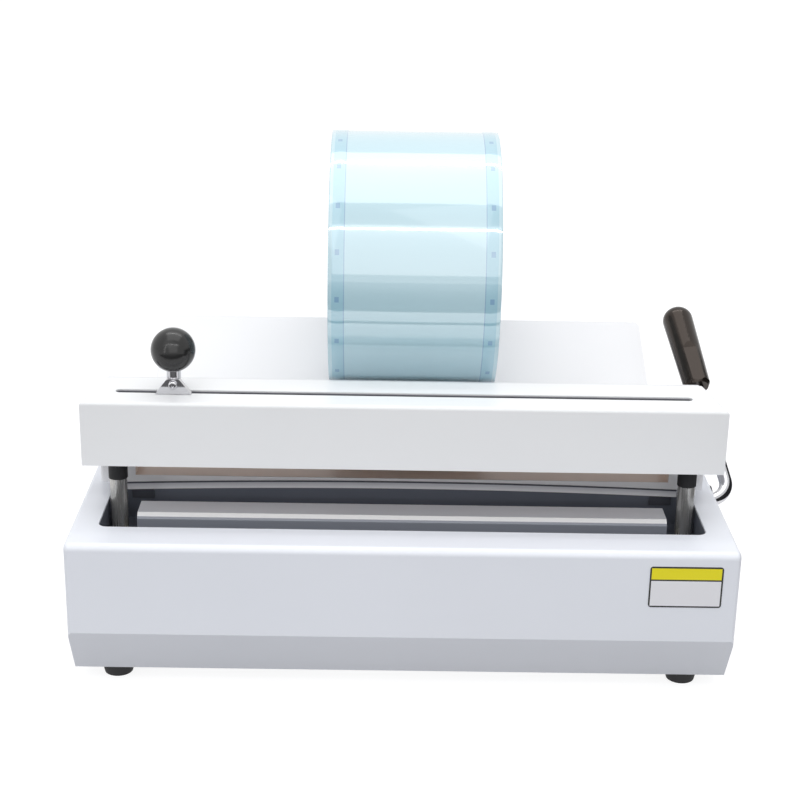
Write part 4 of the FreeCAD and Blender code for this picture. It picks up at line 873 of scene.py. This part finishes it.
@dataclass
class Base:
    """The base with its trough, mechanism and back panel."""

    plate_from_side: float = 9.5 * MM
    plate_width: float = 40.3 * MM
    plate_low: float = 62.1 * MM
    plate_high: float = 86.6 * MM
    plate_thickness: float = 0.3 * MM
    plate_corner: float = 1.6 * MM
    screw_from_back: float = 22.0 * MM
    screw_from_front: float = 52.8 * MM
    screw_rise: float = 8.0 * MM
    cover_screw: PanScrew = PanScrew(3.0 * MM, 1.6 * MM)
    zinc: bpy.types.Material = field(init=False)

    def build(self) -> None:
        """Dress the nodes and add the plate and the cover screws."""
        self.zinc = SHEET.make()
        self.dress_covers()
        self.dress_mechanism()
        self.add_plate()
        self.add_screws()

    def dress_covers(self) -> None:
        """Coat the covers and everything that shows from outside."""
        dress(["base_cover"], WHITE.make())
        dress(["feed_housing", "reel_cradle"], WINDOW_ENAMEL.make())
        dress(["recess_tray"], DARK.make())
        dress(["sealing_bar"], BAR.make())
        dress(["feet"], RUBBER.make())
        dress(["lever_grommet", "power_inlet", "switch_housing"], MATTE.make())
        dress(["switch_rocker"], ROCKER.make())

    def dress_mechanism(self) -> None:
        """Finish the frames, springs, bearings and electrical pieces inside."""
        dress(["bottom_plate", "guide_bridge", "side_frame_left", "side_frame_right", "foot_screws",
               "bar_screws", "spring_pegs"], self.zinc)
        dress(["guide_strip"], GUIDE.make())
        spring_steel = STRIP.make()
        for node in ("return_spring_left", "return_spring_right"):
            dress([node], spring_steel)
            ReturnSpring().wind(node, spring_steel)
        dress(["heater_clamp"], ALUMINIUM.make())
        dress(["terminal_block", "bar_standoffs"], CREAM.make())
        dress(["heater_element", "thermostat"], MICA.make())
        dress(["post_bushing_left", "post_bushing_right", "shaft_bearing_left", "shaft_bearing_right"],
              BRONZE.make())
        dress(["cross_shaft", "lift_cam_left", "lift_cam_right"], GROUND.make())

    def add_plate(self) -> bpy.types.Object:
        """Lay the bare two-tone plate on the front face.

        Returns:
            The piece.
        """
        front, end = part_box("base_cover")
        right = end.x - self.plate_from_side
        low = Vector((right - self.plate_width, front.y, self.plate_low))
        high = Vector((right, front.y, self.plate_high))
        piece = Bench.start(bpy.ops.mesh.primitive_plane_add, "bare_plate",
                            (self.plate_width, self.plate_high - self.plate_low, 1), size=1.0,
                            location=(low + high) / 2, rotation=(math.pi / 2, 0, 0))
        bpy.ops.mesh.select_all(action="SELECT")
        bpy.ops.mesh.bevel(offset=self.plate_corner, segments=5, affect="VERTICES")
        bpy.ops.mesh.select_all(action="SELECT")
        bpy.ops.mesh.extrude_region_move(TRANSFORM_OT_translate={"value": (0, -self.plate_thickness, 0)})
        return Bench.finish(piece, "base", "white_enamel", PLATE.make(low, high))

    def add_screws(self) -> None:
        """Put pan-head screws along the lower edges of both side walls."""
        low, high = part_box("base_cover")
        places = [low.y + self.screw_from_front, (low.y + high.y) / 2, high.y - self.screw_from_back]
        for side, x, way in (("left", low.x, -1.0), ("right", high.x, 1.0)):
            for number, y in enumerate(places):
                self.cover_screw.place("cover_screw_%s_%d" % (side, number),
                                       Vector((x, y, low.z + self.screw_rise)), Vector((way, 0, 0)),
                                       "base", "zinc_sheet", self.zinc)


@dataclass
class Press:
    """The beam with its pad, posts and lifting pieces."""

    def build(self, zinc: bpy.types.Material) -> None:
        """Dress the nodes of the beam.

        Args:
            zinc: The plated sheet.
        """
        dress(["beam_cover"], BEAM_WHITE.make())
        dress(["beam_channel", "post_nuts", "lift_arm_left", "lift_arm_right", "follower_pins"], zinc)
        dress(["presser_holder", "guide_rod_holders"], ALUMINIUM.make())
        dress(["silicone_pad"], SILICONE.make())
        dress(["post_left", "post_right"], POSTS.make())
        dress(["guide_rod", "follower_roller_left", "follower_roller_right"], GROUND.make())
        dress(["post_collar_left", "post_collar_right"], RUBBER.make())


@dataclass
class Lever:
    """The bent chrome rod and its grip."""

    def build(self, chrome: bpy.types.Material) -> None:
        """Dress the rod and the grip.

        Args:
            chrome: The plating.
        """
        dress(["lever_rod"], chrome)
        dress(["lever_grip"], GRIP.make())


@dataclass
class Cutter:
    """The sliding cutter with its folded foot and ball knob."""

    head_height: float = 1.8 * MM

    def build(self, chrome: bpy.types.Material, zinc: bpy.types.Material) -> None:
        """Dress the cutter and model the head of its clamping screw.

        Args:
            chrome: The plating.
            zinc: The plated sheet.
        """
        dress(["cutter_foot", "cutter_stem", "cutter_foot_screw"], chrome)
        dress(["cutter_knob"], KNOB.make())
        dress(["cutter_slider"], ALUMINIUM.make())
        dress(["blade_holder"], zinc)
        dress(["cutter_blade"], STRIP.make())
        low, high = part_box("cutter_foot_screw")
        front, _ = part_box("cutter_foot")
        seat = Vector(((low.x + high.x) / 2, front.y, (low.z + high.z) / 2))
        head = PanScrew((high.x - low.x) / 2, self.head_height)
        piece = head.place("clamp_screw", seat, Vector((0, -1, 0)), "cutter", "chrome_plate", chrome)
        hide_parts("cutter_foot_screw")


@dataclass
class Reel:
    """The reel of pouch web on its board core."""

    facets: int = 160
    rim: float = 0.5 * MM
    seam: float = 9.0 * MM
    seam_sink: float = 0.25 * MM
    fit: float = 0.05 * MM

    def build(self) -> None:
        """Wind the web and dress the core."""
        dress(["reel_core"], BOARD.make())
        self.wind()

    def wind(self) -> bpy.types.Object:
        """Turn a cylinder into the wound web: bored, rounded, and sunk between its sealed edges.

        Returns:
            The piece.
        """
        low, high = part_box("reel_film")
        core_low, core_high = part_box("reel_core")
        centre = (low + high) / 2
        outer = (high.z - low.z) / 2
        inner = (core_high.z - core_low.z) / 2 + self.fit
        half = (high.x - low.x) / 2
        piece = Bench.start(bpy.ops.mesh.primitive_cylinder_add, "wound_web", vertices=self.facets,
                            radius=outer, depth=2 * half, rotation=(0, math.pi / 2, 0), location=centre)
        Bench.pick_faces(piece, lambda face: abs(face.normal.x) > FACING)
        bpy.ops.mesh.inset(thickness=outer - inner)
        bpy.ops.mesh.bridge_edge_loops()
        for way in (-1, 1):
            bpy.ops.mesh.select_all(action="SELECT")
            bpy.ops.mesh.bisect(plane_co=centre + Vector((way * (half - self.seam), 0, 0)),
                                plane_no=(1, 0, 0))

        def reach(point: Vector) -> float:
            """Distance of a point from the axis of the reel."""
            return math.hypot(point.y - centre.y, point.z - centre.z)

        Bench.pick_faces(piece, lambda face: reach(face.calc_center_median()) > (outer + inner) / 2
                         and abs(face.calc_center_median().x - centre.x) < half - self.seam
                         and abs(face.normal.x) < 0.5)
        bpy.ops.mesh.inset(thickness=2 * self.rim, depth=-self.seam_sink)
        Bench.pick_edges(piece, lambda edge: all(reach(v.co) > outer - self.rim / 2
                                                 and abs(v.co.x - centre.x) > half - self.rim / 2
                                                 for v in edge.verts))
        bpy.ops.mesh.bevel(offset=self.rim, segments=2, affect="EDGES")
        Bench.finish(piece, "reel", "pouch_film", WEB.make(), 40.0)
        piece.data.materials.append(EDGE.make())
        for face in piece.data.polygons:
            face.material_index = int(abs(face.normal.x) > FACING)
        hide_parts("reel_film")
        return piece


@dataclass(frozen=True)
class Lamp:
    """A flat soft lamp that looks at the object."""

    name: str
    place: Triple
    size: tuple[float, float]
    power: float

    def hang(self, aim: Vector) -> None:
        """Hang the lamp and turn it to a point.

        Args:
            aim: The point.
        """
        data = bpy.data.lights.new(self.name, "AREA")
        data.shape = "RECTANGLE"
        data.size, data.size_y = self.size
        data.energy = self.power
        lamp = bpy.data.objects.new(self.name, data)
        bpy.context.collection.objects.link(lamp)
        lamp.location = self.place
        lamp.rotation_euler = (aim - lamp.location).to_track_quat("-Z", "Y").to_euler()


@dataclass(frozen=True)
class Card:
    """A dark card that only gloss sees, so that film, chrome and mouldings mirror something dark."""

    name: str
    place: Triple
    size: tuple[float, float]
    turn: Triple
    fade: float = 0.0
    colour: Colour = (0.02, 0.02, 0.022, 1.0)

    def stand(self) -> None:
        """Stand the card in its place."""
        Bench.clear()
        bpy.ops.mesh.primitive_plane_add(size=1.0, location=self.place,
                                         rotation=[math.radians(angle) for angle in self.turn])
        card = bpy.context.object
        card.name = self.name
        card.scale = (*self.size, 1)
        card.visible_camera = False
        card.visible_diffuse = False
        card.visible_shadow = False
        graph = Graph.fresh(self.name)
        _, y, _ = graph.axes()
        shade = graph.mix(graph.between(y, 0.5, -0.5) * self.fade, self.colour, LIGHT)
        card.data.materials.append(graph.finish(shade, 0.9 + graph.noise(30.0) * 0.05))


SOFTBOX = (1.4, 1.4)
TUBE = (1.6, 0.04)


@dataclass
class Studio:
    """Pale floor, soft lamps, dark cards for the chrome, and the camera at the photograph's angle."""

    camera_place: Triple = (-0.020509, -0.952948, 0.480539)
    camera_down: float = 19.915
    camera_turn: float = 0.641
    camera_roll: float = 1.081
    lens: float = 75.26
    sensor: float = 36.0
    clip_start: float = 0.01
    floor_size: float = 12.0
    floor_colour: Colour = (0.3, 0.3, 0.31, 1.0)
    floor_glow: float = 0.84
    daylight: float = 0.6
    daylight_colour: Colour = (0.97, 0.98, 1.0, 1.0)
    aim: Triple = (0.0, 0.0, 0.1)
    lamps: tuple[Lamp, ...] = (
        Lamp("key_lamp", (-0.7, -1.1, 1.5), SOFTBOX, 2.0),
        Lamp("top_lamp", (0.0, 0.1, 1.5), SOFTBOX, 7.4),
        Lamp("front_fill", (0.1, -1.6, 0.9), SOFTBOX, 5.4),
        Lamp("back_tube", (0.0, 0.48, 1.6), TUBE, 2.6),
        Lamp("front_tube", (0.0, -1.06, 1.18), TUBE, 2.2),
        Lamp("side_tube", (-0.9, -1.1, 0.6), (0.08, 1.1), 1.2),
    )
    cards: tuple[Card, ...] = (
        Card("front_card", (0.0, -1.35, 0.003), (1.8, 2.0), (0, 0, 0), 0.9),
        Card("side_card", (0.36, -0.05, 0.12), (0.24, 0.5), (0, 90, 0)),
    )

    def build(self) -> None:
        """Set the view, the floor, the lamps, the cards and the camera."""
        bpy.context.scene.view_settings.view_transform = "Standard"
        self.add_floor()
        self.add_world()
        for lamp in self.lamps:
            lamp.hang(Vector(self.aim))
        for card in self.cards:
            card.stand()
        self.add_camera()

    def add_floor(self) -> None:
        """Lay a pale floor that the lens sees as white."""
        Bench.clear()
        bpy.ops.mesh.primitive_plane_add(size=self.floor_size, location=(0, 0, 0))
        floor = bpy.context.object
        floor.name = "floor"
        graph = Graph.fresh("floor_pale")
        graph.feed(graph.shader.inputs["Emission Color"],
                   graph.mix(graph.white_to_lens(), BLACK, LIGHT))
        graph.shader.inputs["Emission Strength"].default_value = self.floor_glow
        floor.data.materials.append(graph.finish(self.floor_colour, 0.9 + graph.noise(30.0) * 0.05))

    def add_world(self) -> None:
        """Light from all round, seen as white by the lens, by gloss and by glass."""
        world = bpy.data.worlds.new("studio_world")
        bpy.context.scene.world = world
        graph = Graph(world)
        graph.tree.nodes.clear()
        back = graph.add("ShaderNodeBackground", None, {"Color": LIGHT, "Strength": 1.0})
        soft = graph.add("ShaderNodeBackground", None,
                         {"Color": self.daylight_colour, "Strength": self.daylight})
        chosen = graph.add("ShaderNodeMixShader", None,
                           {0: graph.white_to_lens(), 1: soft.outputs[0], 2: back.outputs[0]})
        graph.add("ShaderNodeOutputWorld", None, {"Surface": chosen.outputs[0]})

    def add_camera(self) -> None:
        """Stand the camera where the photograph was taken."""
        data = bpy.data.cameras.new("camera")
        data.lens = self.lens
        data.sensor_width = self.sensor
        data.clip_start = self.clip_start
        camera = bpy.data.objects.new("camera", data)
        bpy.context.collection.objects.link(camera)
        down, turn, roll = (math.radians(a) for a in (self.camera_down, self.camera_turn, self.camera_roll))
        ahead = Vector((math.sin(turn) * math.cos(down), math.cos(turn) * math.cos(down), -math.sin(down)))
        right = Vector((math.cos(turn), -math.sin(turn), 0))
        up = right.cross(ahead)
        across = math.cos(roll) * right + math.sin(roll) * up
        upward = -math.sin(roll) * right + math.cos(roll) * up
        camera.matrix_world = (Matrix.Translation(self.camera_place)
                               @ Matrix((across, upward, -ahead)).transposed().to_4x4())
        bpy.context.scene.camera = camera


def main() -> None:
    """Build the object and the studio."""
    logging.basicConfig(level=logging.INFO, format="%(message)s")
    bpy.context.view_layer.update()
    base = Base()
    base.build()
    chrome = CHROME.make()
    Press().build(base.zinc)
    Lever().build(chrome)
    Cutter().build(chrome, base.zinc)
    Reel().build()
    Studio().build()


if __name__ == "__main__":
    main()
